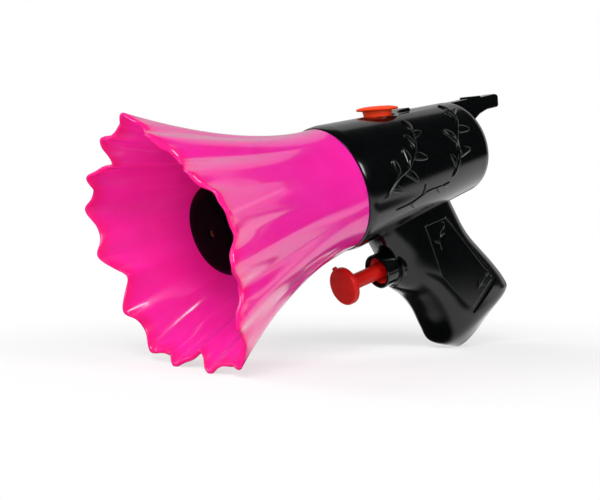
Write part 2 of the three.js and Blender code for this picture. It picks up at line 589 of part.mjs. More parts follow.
const ballSeat = Math.sqrt(BALL_RADIUS ** 2 - PORT_RADIUS ** 2) + FIT_GAP / 2;
const outletBall = portTop + ballSeat;
const inletBall = inletFoot + INLET_SPIGOT + ballSeat;
const ball = (height) => {
  const form = new THREE.SphereGeometry(BALL_RADIUS, BALL_FACETS.round, BALL_FACETS.up);
  return solid(atValves(form.translate(0, 0, height)));
};
keep('outlet_ball', ball(outletBall), steel);
keep('inlet_ball', ball(inletBall), steel);
const valveSpringFoot = outletBall + BALL_RADIUS + FIT_GAP;
const valveSpringTop = outletTop - VALVE_SPIGOT - FIT_GAP;
const valveSpringLength = valveSpringTop - valveSpringFoot;
const valveSpring = spring('outlet_spring', VALVE_SPRING_RADIUS, VALVE_SPRING_WIRE, VALVE_SPRING_TURNS,
  valveSpringLength);
valveSpring.rotateY(-Math.PI / 2).translate(0, 0, valveSpringFoot);
keep('outlet_spring', solid(atValves(valveSpring)), steel);

// Hoses
const hoseFoot = -PUMP_DROP + outletTop + VALVE_FLANGE + 2 * FIT_GAP;
const hoseFront = nozzleEnd + FIT_GAP;
const delivery = new THREE.CurvePath();
const bendFoot = new THREE.Vector3(VALVE_AT, 0, -HOSE_BEND);
const bendTop = new THREE.Vector3(VALVE_AT - HOSE_BEND, 0, 0);
delivery.add(new THREE.LineCurve3(new THREE.Vector3(VALVE_AT, 0, hoseFoot), bendFoot));
delivery.add(new THREE.QuadraticBezierCurve3(bendFoot, new THREE.Vector3(VALVE_AT, 0, 0), bendTop));
delivery.add(new THREE.LineCurve3(bendTop, new THREE.Vector3(hoseFront, 0, 0)));
keep('delivery_hose', solid(drawn(delivery, HOSE_RADIUS, HOSE_BORE, HOSE_STEPS, HOSE_SIDES)), clear);
const suctionTop = -PUMP_DROP + inletFoot - VALVE_FLANGE - 2 * FIT_GAP;
const suctionPoint = (height) => new THREE.Vector3(VALVE_AT, 0, height);
const suction = new THREE.LineCurve3(suctionPoint(suctionTop), suctionPoint(SUCTION_END));
keep('suction_hose', solid(drawn(suction, HOSE_RADIUS, HOSE_BORE, 1, HOSE_SIDES)), clear);

// Rest: the pitch at which the bell's lowest tips and the grip's toe are level
const lowest = (name, pitch) => {
  const { vertProperties } = solids.get(name).body.getMesh();
  let least = Infinity;
  for (let i = 0; i < vertProperties.length; i += 3) {
    const height = vertProperties[i] * Math.sin(pitch) + vertProperties[i + 2] * Math.cos(pitch);
    least = Math.min(least, height);
  }
  return least;
};
let [flat, steep] = PITCH_RANGE.map(radians);
while (steep - flat > radians(PITCH_STEP)) {
  const middle = (flat + steep) / 2;
  if (lowest('bell', middle) > lowest('body_left', middle)) flat = middle;
  else steep = middle;
}
const pitch = (flat + steep) / 2;
console.log(`pitch ${THREE.MathUtils.radToDeg(pitch).toFixed(3)} degrees`);

const rest = new THREE.Matrix4().makeRotationY(-pitch);
for (const [name, { body: piece, material }] of solids) {
  const { vertProperties, triVerts } = piece.getMesh();
  const geometry = new THREE.BufferGeometry();
  geometry.setAttribute('position', new THREE.BufferAttribute(new Float32Array(vertProperties), 3));
  geometry.setIndex(new THREE.BufferAttribute(new Uint32Array(triVerts), 1));
  geometry.applyMatrix4(rest);
  const mesh = new THREE.Mesh(geometry, material);
  mesh.name = name;
  group.add(mesh);
}
const box = new THREE.Box3().setFromObject(group);
const shift = [-(box.min.x + box.max.x) / 2, -(box.min.y + box.max.y) / 2, -box.min.z];
console.log(`joint centre at ${shift.map((v) => v.toFixed(3)).join(', ')}`);
for (const mesh of group.children) {
  mesh.geometry.translate(...shift);
  mesh.geometry.computeVertexNormals();
}

export default group;
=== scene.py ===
# %% [markdown]
# # A trigger-pump water squirter, dressed for its portrait
# The squirter is a small toy pistol: a pink bell with a petal rim, a black two-half tank with a
# grip, a red push plunger and an orange filler plug. The frame holds the exact solids and their
# joints. This lesson lays smooth, finely divided skins over the pieces that show, gives every piece
# a finish, and then sets up the floor, the light and the camera of the photograph.

# %% Tools and the frame
import json
import math

import bmesh
import bpy
from mathutils import Matrix, Vector


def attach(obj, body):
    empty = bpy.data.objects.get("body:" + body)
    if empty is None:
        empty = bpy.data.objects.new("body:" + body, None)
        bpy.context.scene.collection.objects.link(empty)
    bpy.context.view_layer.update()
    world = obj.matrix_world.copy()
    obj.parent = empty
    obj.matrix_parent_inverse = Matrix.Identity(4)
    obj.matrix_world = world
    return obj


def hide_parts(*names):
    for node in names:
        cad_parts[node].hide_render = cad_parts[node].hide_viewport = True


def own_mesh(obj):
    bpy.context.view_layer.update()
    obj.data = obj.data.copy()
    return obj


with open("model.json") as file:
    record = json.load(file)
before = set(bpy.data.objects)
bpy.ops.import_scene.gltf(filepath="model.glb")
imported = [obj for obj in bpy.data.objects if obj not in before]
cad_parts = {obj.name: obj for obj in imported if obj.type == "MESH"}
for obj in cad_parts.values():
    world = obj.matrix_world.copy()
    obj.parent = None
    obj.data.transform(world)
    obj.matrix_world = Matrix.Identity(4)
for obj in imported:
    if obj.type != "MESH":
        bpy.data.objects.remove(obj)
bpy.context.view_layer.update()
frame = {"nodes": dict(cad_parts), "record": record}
scene = bpy.context.scene

# %% [markdown]
# ## One place for everything
# The squirter is easiest to think of while it is held level: X runs back along the barrel from the
# joint of bell and barrel, Z is up, and the left side is towards -Y, all in millimetres. At rest it
# is pitched nose down onto its bell. Each object could be turned into place, but the export wants
# objects that are not moved or turned. One matrix takes a level shape to its resting place in
# metres, and that place goes into the mesh.

# %% The resting place
PITCH = math.radians(17.232)
JOINT = Vector((-3.058, 0.0, 53.184)) / 1000
MILLIMETRE = 0.001
AT_REST = Matrix.Translation(JOINT) @ Matrix.Rotation(-PITCH, 4, "Y") @ Matrix.Scale(MILLIMETRE, 4)


def resting(along, across, up):
    """A level point in millimetres as a resting point in metres."""
    return AT_REST @ Vector((along, across, up))


joints = {joint["name"]: joint for joint in frame["record"]["behaviour"]["joints"]}
print("slide axis", joints["plunger_slide"]["axis"])

# %% [markdown]
# ## The camera
# A camera was solved from the rims and edges in the photograph. It stands close to the muzzle on
# the left, almost level with the barrel, so the bell looms and the grip falls away. A constraint
# could aim it, but three measured angles also give its roll.

# %% Camera of the photograph
CAMERA_OFFSET = Vector((-238.2, -298.3, -5.6)) / 1000
CAMERA_ANGLES = (-37.459, 1.972, 0.405)
LENS, SENSOR, CLIP = 72, 36, (0.01, 20)

azimuth, elevation, roll = (math.radians(v) for v in CAMERA_ANGLES)
tipped = Matrix.Rotation(math.pi / 2 - elevation, 4, "X") @ Matrix.Rotation(roll, 4, "Z")
facing = Matrix.Rotation(azimuth, 4, "Z") @ tipped
lens = bpy.data.cameras.new("photo_camera")
lens.lens, lens.sensor_width, lens.sensor_fit = LENS, SENSOR, "HORIZONTAL"
lens.clip_start, lens.clip_end = CLIP
camera = bpy.data.objects.new("photo_camera", lens)
camera.matrix_world = Matrix.Translation(JOINT + CAMERA_OFFSET) @ facing
scene.collection.objects.link(camera)
scene.camera = camera
print("camera at", [round(v, 3) for v in camera.location])

# %% [markdown]
# ## Moulded plastics
# Toy plastic is never one flat colour. The pigment swirls a little as the melt flows, the mould's
# polish leaves a gloss that varies from place to place, and the skin has a faint orange peel.
# Painted textures could show this, but each piece would need its own. One recipe of two noises on
# Object coordinates gives all three instead: it drives colour, roughness and bump.

# %% The moulded finish
NODE_STEP = 220
RAMP = (0.3, 0.7)
FLOW = {"Detail": 4.0, "Roughness": 0.55, "Distortion": 1.2}
GRAIN = {"Detail": 2.0, "Roughness": 0.5}
PEEL_HEIGHT = 0.0002


def node(tree, kind, **inputs):
    """Adds a shader node, to the left of those before it, and sets its inputs by name."""
    made = tree.nodes.new(kind)
    made.location.x = -NODE_STEP * len(tree.nodes)
    for key, value in inputs.items():
        made.inputs[key.replace("_", " ")].default_value = value
    return made


def moulded(name, colour, deeper, gloss, swirl=70.0, peel=900.0, peel_strength=0.03, **sockets):
    """A moulded plastic: colour to deeper by slow swirls, (low, high) roughness and fine peel."""
    made = bpy.data.materials.new(name)
    made.use_nodes = True
    tree = made.node_tree
    shader = tree.nodes["Principled BSDF"]
    where = node(tree, "ShaderNodeTexCoord")
    flow = node(tree, "ShaderNodeTexNoise", Scale=swirl, **FLOW)
    grain = node(tree, "ShaderNodeTexNoise", Scale=peel, **GRAIN)
    tint = node(tree, "ShaderNodeValToRGB")
    for i, shade in enumerate((deeper, colour)):
        stop = tint.color_ramp.elements[i]
        stop.position, stop.color = RAMP[i], (*shade, 1)
    polish = node(tree, "ShaderNodeMapRange", From_Min=RAMP[0], From_Max=RAMP[1],
                  To_Min=gloss[0], To_Max=gloss[1])
    bump = node(tree, "ShaderNodeBump", Strength=peel_strength, Distance=PEEL_HEIGHT)
    for source, output, target, socket in (
            (where, "Object", flow, "Vector"), (where, "Object", grain, "Vector"),
            (flow, "Fac", tint, "Fac"), (flow, "Fac", polish, "Value"),
            (grain, "Fac", bump, "Height"), (tint, "Color", shader, "Base Color"),
            (polish, "Result", shader, "Roughness"), (bump, "Normal", shader, "Normal")):
        tree.links.new(source.outputs[output], target.inputs[socket])
    for key, value in sockets.items():
        shader.inputs[key.replace("_", " ")].default_value = value
    return made


print("gloss and tint swirl between noise values of", RAMP)

# %% [markdown]
# The tank is black plastic from a polished mould, with a hard, clear gloss. The bell is a pink that
# lets a little light in, the nose inside it is matt, and the plunger and the plug are satin. Inside
# are natural plastic, milky tube, rubber and steel wire. Each could have its own recipe. They share
# one, with their own colours, swirls and gloss, so that they look like parts of one toy.

# %% The finishes
black_gloss = moulded(
    "black_gloss", (0.0008, 0.0013, 0.0015), (0.0004, 0.0008, 0.0010), (0.15, 0.23), IOR=1.34,
    Coat_Weight=0.95, Coat_Roughness=0.12, Coat_IOR=1.34)
pink_gloss = moulded(
    "pink_gloss", (0.90, 0.019, 0.355), (0.86, 0.014, 0.325), (0.16, 0.24), IOR=1.5,
    Coat_Weight=0.8, Coat_Roughness=0.07, Coat_IOR=1.55, Subsurface_Weight=0.7,
    Subsurface_Radius=(0.005, 0.0012, 0.0025), Subsurface_Scale=1.0)
nose_matte = moulded(
    "nose_matte", (0.0006, 0.0007, 0.0007), (0.0003, 0.0004, 0.0004), (0.52, 0.66), peel=1500.0,
    peel_strength=0.12, IOR=1.3, Specular_IOR_Level=0.1)
red_satin = moulded(
    "red_satin", (0.56, 0.009, 0.005), (0.48, 0.006, 0.004), (0.30, 0.42), swirl=160.0, IOR=1.34)
nozzle_red = moulded(
    "nozzle_red", (0.11, 0.010, 0.008), (0.08, 0.008, 0.006), (0.40, 0.52), swirl=160.0, IOR=1.4)
orange_satin = moulded(
    "orange_satin", (0.96, 0.054, 0.005), (0.88, 0.044, 0.004), (0.34, 0.46), swirl=160.0, IOR=1.38)
natural_plastic = moulded(
    "natural_plastic", (0.74, 0.73, 0.68), (0.66, 0.65, 0.60), (0.40, 0.52), swirl=120.0, IOR=1.5)
hose_milky = moulded(
    "hose_milky", (0.62, 0.68, 0.70), (0.54, 0.60, 0.62), (0.30, 0.42), swirl=200.0, IOR=1.45)
seal_rubber = moulded(
    "seal_rubber", (0.012, 0.012, 0.012), (0.008, 0.008, 0.008), (0.62, 0.78), peel=1800.0, IOR=1.5)
spring_steel = moulded(
    "spring_steel", (0.52, 0.53, 0.55), (0.44, 0.45, 0.47), (0.20, 0.34), swirl=400.0, Metallic=1.0)
print("finishes:", [made.name for made in bpy.data.materials])

# %% [markdown]
# The bell lets some light through, and its lip, which is all edge, looks a deeper pink. A second
# material for the lip would end in a hard line. A number on each point of the mesh, nought on the
# wall and one at the lip, mixes the two pinks softly. The bell's own cell fills in that number.

# %% Deeper pink at the rim
RIM_PINK = (0.84, 0.010, 0.21, 1)
tree = pink_gloss.node_tree
rim_share = node(tree, "ShaderNodeAttribute")
rim_share.attribute_name = "to_rim"
rim_tint = node(tree, "ShaderNodeMixRGB", Color2=RIM_PINK)
tree.links.new(rim_share.outputs["Fac"], rim_tint.inputs["Fac"])
tree.links.new(tree.nodes["Color Ramp"].outputs["Color"], rim_tint.inputs["Color1"])
tree.links.new(rim_tint.outputs["Color"], tree.nodes["Principled BSDF"].inputs["Base Color"])
print("rim pink", RIM_PINK[:3])

# %% [markdown]
# ## Turning, joining and carving
# Most pieces are round, so a profile spun about the barrel's axis makes them. The body needs more:
# its barrel, grip, fin and collar are joined and then hollowed. That could be modelled face by
# face, but Boolean modifiers do it cleanly when every form is closed. Each result is read back into
# a bmesh, so no modifier is left on a finished piece.

# %% Turning a profile
ROUND_STEPS, SMALL_STEPS = 128, 64
WELD = 1e-4


def outward(form):
    """Turns the faces of a form outward and hands it back."""
    bmesh.ops.recalc_face_normals(form, faces=form.faces)
    return form


def turned(points, steps=SMALL_STEPS, ring=False):
    """Spins a profile of (along, radius) points about X. A ring profile closes on itself."""
    form = bmesh.new()
    corners = [form.verts.new((along, 0, radius)) for along, radius in points]
    pairs = list(zip(corners, corners[1:])) + ([(corners[-1], corners[0])] if ring else [])
    edges = [form.edges.new(pair) for pair in pairs]
    bmesh.ops.spin(form, geom=corners + edges, cent=(0, 0, 0), axis=(1, 0, 0), angle=2 * math.pi,
                   steps=steps, use_merge=True)
    bmesh.ops.remove_doubles(form, verts=form.verts, dist=WELD)
    return outward(form)


def arc(centre, radius, start, stop, steps):
    """Points round an arc of (along, radius) profile space, in degrees from the +along way."""
    turns = [math.radians(start + (stop - start) * i / steps) for i in range(steps + 1)]
    return [(centre[0] + radius * math.cos(t), centre[1] + radius * math.sin(t)) for t in turns]


def moved(form, matrix):
    """Moves a whole form by a matrix and hands it back."""
    bmesh.ops.transform(form, matrix=matrix, verts=form.verts)
    return form


def only(kind, geom):
    """The vertices, edges or faces among what an operator made."""
    return [part for part in geom if isinstance(part, kind)]


print("steps round a large and a small piece:", ROUND_STEPS, SMALL_STEPS)

# %% Carving a form and finishing a piece
def as_object(name, form):
    """A linked object that holds the form's mesh; the form is used up."""
    mesh = bpy.data.meshes.new(name)
    form.to_mesh(mesh)
    form.free()
    made = bpy.data.objects.new(name, mesh)
    scene.collection.objects.link(made)
    return made


def combined(target, tool, operation):
    """Joins (UNION) or carves (DIFFERENCE) one closed form with another."""
    kept, cutter = as_object("kept", target), as_object("cutter", tool)
    step = kept.modifiers.new("carve", "BOOLEAN")
    step.operation, step.object, step.solver = operation, cutter, "MANIFOLD"
    shaped = kept.evaluated_get(bpy.context.evaluated_depsgraph_get())
    result = bmesh.new()
    result.from_mesh(shaped.to_mesh())
    shaped.to_mesh_clear()
    for spent in (kept, cutter):
        mesh = spent.data
        bpy.data.objects.remove(spent)
        bpy.data.meshes.remove(mesh)
    bmesh.ops.dissolve_degenerate(result, dist=WELD, edges=result.edges)
    return result


def finished(name, form, finish, body, slot, *nodes, sharp=32):
    """Puts a level form at rest as a smooth, finished piece on a body, in place of nodes."""
    made = as_object(name, moved(form, AT_REST))
    made.data.materials.append(finish)
    made.data.shade_smooth()
    made.data.set_sharp_from_angle(angle=math.radians(sharp))
    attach(made, body)
    if nodes:
        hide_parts(*nodes)
    triangles = sum(len(face.vertices) - 2 for face in made.data.polygons)
    print(name, "triangles", triangles)
    return made


print("points closer than", WELD, "mm are welded")

# %% [markdown]
# ## The bell
# The bell flares from a round neck to a rim of five petals, each with a long middle tip and two
# side tips, and deep notches between them. The tips run back as shallow ribs with sharp creases
# that fade towards the neck, and the ribs leave fine waves along the rim. It could be sculpted, but
# then no two petals would agree. Spinning a smooth wall and drawing its points outward and forward,
# more and more towards the rim, gives petals, ribs and waved lip from a few values.

# %% The bell's rim and ribs
PETALS, SIDE_TIP = 5, 21.0
PETAL_PITCH = 360 / PETALS
NOTCH_PITCH = PETAL_PITCH - 2 * SIDE_TIP
TIP_AHEAD = {"middle": 2.8, "side": 4.2, "scallop": 2.2}
TIP_OUT = {"middle": 8.0, "side": 4.2, "scallop": 1.4}
FLUTE_DEPTH, FLUTE_MEAN, FLUTE_PEAK = 0.5, 2 / math.pi, 27 / 4
RIPPLES_PER_PETAL, RIPPLE_DEPTH, RIPPLE_MEAN, RIPPLE_POWER = 7, 0.35, 0.6, 14


def lobed(turn):
    """1 on the crown of a lobe and 0 in the crease beside it, by turns from crown to crown."""
    return (1 + math.cos(2 * math.pi * turn)) / 2


def from_middle(angle):
    """Degrees from the middle tip of the nearest petal."""
    return abs(angle - PETAL_PITCH * round(angle / PETAL_PITCH))


def rim_reach(angle, tip):
    """How far the rim stands from the foot of a deep notch, by degrees from the top."""
    beside = from_middle(angle)
    if beside > SIDE_TIP:
        return tip["side"] * lobed((beside - SIDE_TIP) / NOTCH_PITCH)
    t = beside / SIDE_TIP
    ease = t * t * (3 - 2 * t)
    return tip["middle"] + (tip["side"] - tip["middle"]) * ease - tip["scallop"] * (1 - lobed(t))


def flute(angle, share):
    """A shallow rib on each lobe with a sharp crease beside it, deepest two thirds of the way."""
    beside = from_middle(angle)
    turn = beside / SIDE_TIP if beside < SIDE_TIP else (beside - SIDE_TIP) / NOTCH_PITCH
    swell = FLUTE_PEAK * share ** 2 * max(0.0, 1 - share)
    return FLUTE_DEPTH * swell * (abs(math.cos(math.pi * turn)) - FLUTE_MEAN)


def ripple(angle, share):
    """Fine waves that the ribs leave along the rim."""
    wave = math.cos(math.radians(angle * PETALS * RIPPLES_PER_PETAL)) - RIPPLE_MEAN
    return RIPPLE_DEPTH * share ** RIPPLE_POWER * wave


print("reach of middle tip, side tip and notch:",
      [rim_reach(angle, TIP_OUT) for angle in (0, SIDE_TIP, PETAL_PITCH / 2)])

# %% The bell's wall
STEPS_PER_PETAL, BELL_STATIONS, LIP_STEPS = 90, 44, 6
BELL_WALL, GAP = 1.5, 0.3
NECK_RADIUS, NECK_TAPER, NECK_DEPTH = 19.5, 0.16, 8.0
NOTCH_AHEAD, NOTCH_RADIUS, FLARE_POWER = 59.2, 33.4, 1.36
JOINT_SWELL, SWELL_POWER, JOINT_BACK = 0.6, 3, 0.8


def bell_wall(base, swell=0):
    """Stations from neck to rim as (along, radius), with a swell at the neck that fades ahead."""
    shares = [i / BELL_STATIONS for i in range(BELL_STATIONS + 1)]
    return [(-NOTCH_AHEAD * s, base + (NOTCH_RADIUS - NECK_RADIUS) * s ** FLARE_POWER
             + swell * (1 - s) ** SWELL_POWER) for s in shares]


neck_end = NECK_RADIUS - NECK_TAPER * NECK_DEPTH
lip_middle = (-NOTCH_AHEAD, NOTCH_RADIUS - BELL_WALL / 2)
lip = arc(lip_middle, BELL_WALL / 2, 90, 270, LIP_STEPS)[1:-1]
shoulder = [(JOINT_BACK, NECK_RADIUS - NECK_TAPER * JOINT_BACK),
            (JOINT_BACK - GAP, NECK_RADIUS + JOINT_SWELL)]
profile = [
    (NECK_DEPTH, neck_end), *shoulder, *bell_wall(NECK_RADIUS, JOINT_SWELL), *lip,
    *reversed(bell_wall(NECK_RADIUS - BELL_WALL)), (NECK_DEPTH, neck_end - BELL_WALL)]
bell_form = turned(profile, PETALS * STEPS_PER_PETAL, ring=True)
print("bell faces", len(bell_form.faces))

# %% The bell's petals
PETAL_POWER, RIM_LEAN, RIM_BAND = 2.5, 1.0, 3.2
to_rim = bell_form.verts.layers.float.new("to_rim")
for point in bell_form.verts:
    share = max(0.0, -point.co.x / NOTCH_AHEAD)
    growth = share ** PETAL_POWER
    point[to_rim] = min(1.0, max(0.0, 1 - (NOTCH_AHEAD + point.co.x) / RIM_BAND))
    angle = math.degrees(math.atan2(point.co.y, point.co.z))
    radius = math.hypot(point.co.y, point.co.z)
    lift = rim_reach(angle, TIP_OUT) * growth + flute(angle, share) + ripple(angle, share)
    out = 1 + lift / radius
    ahead = rim_reach(angle, TIP_AHEAD) + RIM_LEAN * point.co.z / radius
    point.co = (point.co.x - ahead * growth, point.co.y * out, point.co.z * out)
finished("petal_bell", bell_form, pink_gloss, "body", "pink_bell", "bell", sharp=60)

# %% [markdown]
# ## The nose and the jet
# Inside the bell a black tube stands out of the barrel, with a rounded end and a small red nozzle
# in its middle. A bevelled cylinder would look the same from the front, but the real nose is hollow
# and carries the nozzle in a socket, so both are spun from their true sections.

# %% Nose and nozzle
NOSE_RADIUS, NOSE_AHEAD, NOSE_ROUNDING, NOSE_WALL = 14.6, 45.2, 6.0, 1.6
NOSE_APERTURE, NOSE_EDGE, NOSE_STEPS = 1.5, 0.3, 16
FLANGE_THICKNESS, FLANGE_SHOULDER = 3.0, 3.0
SOCKET_RADIUS, SOCKET_WALL, SOCKET_LENGTH = 2.3, 1.9, 8.0
HOSE_RADIUS, HOSE_BORE = SOCKET_RADIUS - GAP, 1.2
NOZZLE_RECESS, NOZZLE_BODY, NOZZLE_BORE = 0.7, 4.5, 0.5
NOZZLE_DISH, NOZZLE_EDGE = (0.5, 0.25), 0.2

flange_front = NECK_DEPTH + GAP
flange_rear = flange_front + FLANGE_THICKNESS
flange_radius = NOSE_RADIUS + FLANGE_SHOULDER
socket_front = NOSE_WALL - NOSE_AHEAD
socket_rear = socket_front + SOCKET_LENGTH
socket_radius = SOCKET_RADIUS + SOCKET_WALL
round_centre = (NOSE_ROUNDING - NOSE_AHEAD, NOSE_RADIUS - NOSE_ROUNDING)
outer_edge = arc(round_centre, NOSE_ROUNDING, 180, 90, NOSE_STEPS)
inner_edge = arc(round_centre, NOSE_ROUNDING - NOSE_WALL, 90, 180, NOSE_STEPS // 2)
nose_profile = [
    (-NOSE_AHEAD + NOSE_EDGE, NOSE_APERTURE), (-NOSE_AHEAD, NOSE_APERTURE + NOSE_EDGE), *outer_edge,
    (flange_front, NOSE_RADIUS), (flange_front, flange_radius), (flange_rear, flange_radius),
    (flange_rear, NOSE_RADIUS - NOSE_WALL), *inner_edge, (socket_front, socket_radius),
    (socket_rear, socket_radius), (socket_rear, SOCKET_RADIUS), (socket_front, SOCKET_RADIUS),
    (socket_front, NOSE_APERTURE)]
finished("nose_tube", turned(nose_profile, ROUND_STEPS, ring=True), nose_matte, "body",
         "black_body", "muzzle_nose")

nozzle_tip, nozzle_radius = NOZZLE_RECESS - NOSE_AHEAD, NOSE_APERTURE - GAP
step_front = socket_front + GAP
nozzle_end = step_front + NOZZLE_BODY
nozzle_profile = [
    (nozzle_tip + NOZZLE_DISH[0], NOZZLE_BORE), (nozzle_tip, NOZZLE_BORE + NOZZLE_DISH[1]),
    (nozzle_tip, nozzle_radius - NOZZLE_EDGE), (nozzle_tip + NOZZLE_EDGE, nozzle_radius),
    (step_front, nozzle_radius), (step_front, HOSE_RADIUS), (nozzle_end, HOSE_RADIUS),
    (nozzle_end, NOZZLE_BORE)]
finished("jet_nozzle", turned(nozzle_profile, ring=True), nozzle_red, "body", "red_plastic",
         "nozzle")

# %% [markdown]
# ## The black body
# The tank and grip are two mouldings welded along the middle. The barrel is a tapered drum with a
# rounded back and an eased front edge, and it droops a little towards the rear. A cone with a Bevel
# modifier would come close. A spun profile gives each edge its own rounding, and one sheared matrix
# gives the droop to the barrel and to the hollow inside it alike.

# %% Barrel forms
JOINT_RADIUS, REAR_RADIUS, BARREL_LENGTH, BARREL_DROOP = 21.0, 15.6, 62.0, 1.6
FRONT_LIP, FRONT_EASE, FRONT_STEPS = 0.7, 4.2, 10
REAR_ROUNDING, REAR_STEPS, SHELL_WALL = 4.5, 12, 1.8
SEAT_AHEAD, TANK_OVERLAP = 1.0, 0.5
TAPER = (JOINT_RADIUS - REAR_RADIUS) / BARREL_LENGTH
DROOP = Matrix.Identity(4)
DROOP[2][0] = -BARREL_DROOP / BARREL_LENGTH


def barrel_radius(along):
    """The drum's radius at a station."""
    return JOINT_RADIUS - TAPER * along


def barrel_top(along):
    """The height of the drum's top at a station."""
    return barrel_radius(along) - BARREL_DROOP * along / BARREL_LENGTH


def rear_end(inset):
    """The barrel's rounded back, ending on the axis."""
    centre = BARREL_LENGTH - REAR_ROUNDING
    radius = barrel_radius(centre) - REAR_ROUNDING
    return [*arc((centre, radius), REAR_ROUNDING - inset, 90, 0, REAR_STEPS),
            (BARREL_LENGTH - inset, 0)]


front_edge, front_length = NECK_RADIUS + FRONT_LIP, FRONT_EASE - JOINT_BACK
front_rise = barrel_radius(FRONT_EASE) - front_edge
quarter = [math.pi / 2 * i / FRONT_STEPS for i in range(FRONT_STEPS + 1)]
front_round = [(FRONT_EASE - front_length * math.cos(turn),
                front_edge + front_rise * math.sin(turn)) for turn in quarter]
barrel = moved(turned([(JOINT_BACK, 0), *front_round, *rear_end(0)], ROUND_STEPS), DROOP)
seat = [(x, NECK_RADIUS + GAP - NECK_TAPER * x) for x in (-SEAT_AHEAD, flange_front)]
neck_seat = turned([(seat[0][0], 0), *seat, (seat[1][0], 0)], ROUND_STEPS)
tank_front, stop_front = flange_front - TANK_OVERLAP, flange_rear + GAP
stop_rear, stop_radius = stop_front + SHELL_WALL, NOSE_RADIUS + GAP
tank_profile = [
    (tank_front, 0), (tank_front, barrel_radius(flange_front) - SHELL_WALL),
    (stop_front, barrel_radius(stop_front) - SHELL_WALL), (stop_front, stop_radius),
    (stop_rear, stop_radius), (stop_rear, barrel_radius(stop_rear) - SHELL_WALL),
    *rear_end(SHELL_WALL)]
tank = moved(turned(tank_profile, ROUND_STEPS), DROOP)
print("barrel faces", len(barrel.faces), "tank faces", len(tank.faces))

# %% [markdown]
# The grip is a run of rounded sections between a wavy front edge and a smoother rear one. A
# subdivided box could give it too, but its corners would be hard to steer. Here each section is a
# circle drawn out to shape, and the circles are bridged, which keeps the reflections along the grip
# as smooth as on the real gloss. A smaller run of sections is kept for its hollow.

# %% The grip's edges
GRIP_FRONT = [(15, -13), (15.3, -21), (18, -29), (18.8, -37.6), (24.6, -44.3), (28.2, -50.6),
              (30.2, -58), (32.2, -63.6), (39.6, -68)]
GRIP_REAR = [(46.5, -12), (48.6, -20.3), (50.3, -27), (52.7, -31.8), (56.4, -37.4), (60.5, -43.4),
             (64.4, -49.9), (65.6, -53.8), (62, -57.4)]
GRIP_HALF = [8, 8.8, 9.7, 10, 10.1, 10.1, 9.8, 8.8, 5]


def through(points, t):
    """A point on the smooth curve through the points, with t from 0 to the last point's number."""
    span = min(int(t), len(points) - 2)
    s = t - span
    p0, p1, p2, p3 = (Vector(points[min(max(span + k, 0), len(points) - 1)]) for k in (-1, 0, 1, 2))
    slope_in, slope_out = (p2 - p0) / 2, (p3 - p1) / 2
    return (p1 * (2 * s ** 3 - 3 * s ** 2 + 1) + slope_in * (s ** 3 - 2 * s ** 2 + s)
            + p2 * (3 * s ** 2 - 2 * s ** 3) + slope_out * (s ** 3 - s ** 2))


print("halfway down the front edge:", through(GRIP_FRONT, len(GRIP_FRONT) // 2)[:])

# %% Grip forms
GRIP_WALL, GRIP_HOLLOW_END = 2.6, 0.931
GRIP_SIDES, SECTIONS_PER_SPAN = 72, 8
FRONT_SQUARENESS, REAR_SQUARENESS = 2.9, 4.0


def grip_section(form, t, inset):
    """One ring of the grip: a circle drawn out to a rounded section between the edges."""
    front, rear = through(GRIP_FRONT, t), through(GRIP_REAR, t)
    half = through(list(enumerate(GRIP_HALF)), t).y - inset
    middle, reach = (front + rear) / 2, (rear - front) / 2
    reach = reach.normalized() * (reach.length - inset)
    ring = bmesh.ops.create_circle(form, segments=GRIP_SIDES, radius=1)["verts"]
    for point in ring:
        power = 2 / (FRONT_SQUARENESS if point.co.x < 0 else REAR_SQUARENESS)
        u, v = (math.copysign(abs(c) ** power, c) for c in point.co.xy)
        point.co = (middle.x + reach.x * u, v * half, middle.y + reach.y * u)
    return ring


def grip_form(inset, end):
    """The grip's closed form down to a share of its length."""
    form = bmesh.new()
    spans = (len(GRIP_FRONT) - 1) * end
    count = round(spans * SECTIONS_PER_SPAN)
    rings = [grip_section(form, spans * i / count, inset) for i in range(count + 1)]
    loops = [list(dict.fromkeys(e for v in ring for e in v.link_edges)) for ring in rings]
    for upper, lower in zip(loops, loops[1:]):
        bmesh.ops.bridge_loops(form, edges=upper + lower)
    for ring in (rings[0], rings[-1]):
        bmesh.ops.contextual_create(form, geom=ring)
    return outward(form)


grip, grip_hollow = grip_form(0, 1), grip_form(GRIP_WALL, GRIP_HOLLOW_END)
print("grip faces", len(grip.faces), "hollow faces", len(grip_hollow.faces))

# %% [markdown]
# The fin at the back and the sight pad beside the plug are flat tabs with small steps and rounded
# edges. They could be cut from cubes. An outline that is made a face, extruded across and bevelled
# follows the real edge more closely.

# %% Fin and sight pad
FIN = [(-24, -2), (-8, 0.5), (2.4, -0.5), (7, -0.9), (7.3, -0.3), (12.4, -1.1), (12.6, -1.7),
       (19.4, -2.2), (20.5, -2.6), (21, -3.4), (20.4, -6.5), (19.7, -7), (14.5, -6.6),
       (10.6, -7.2), (6, -9.2), (3, -11.5), (0, -15), (-6, -20), (-12, -16)]
FIN_HALF, FIN_EDGE = 2.7, 0.5
SIGHT_PAD = [(4.5, -4), (5.9, -0.9), (7.5, -0.4), (11.8, -0.7), (13.2, -3.6)]
SIGHT_PAD_HALF, SIGHT_PAD_EDGE, EDGE_SEGMENTS = 3.0, 0.4, 3
FILLER_AT = 28.5


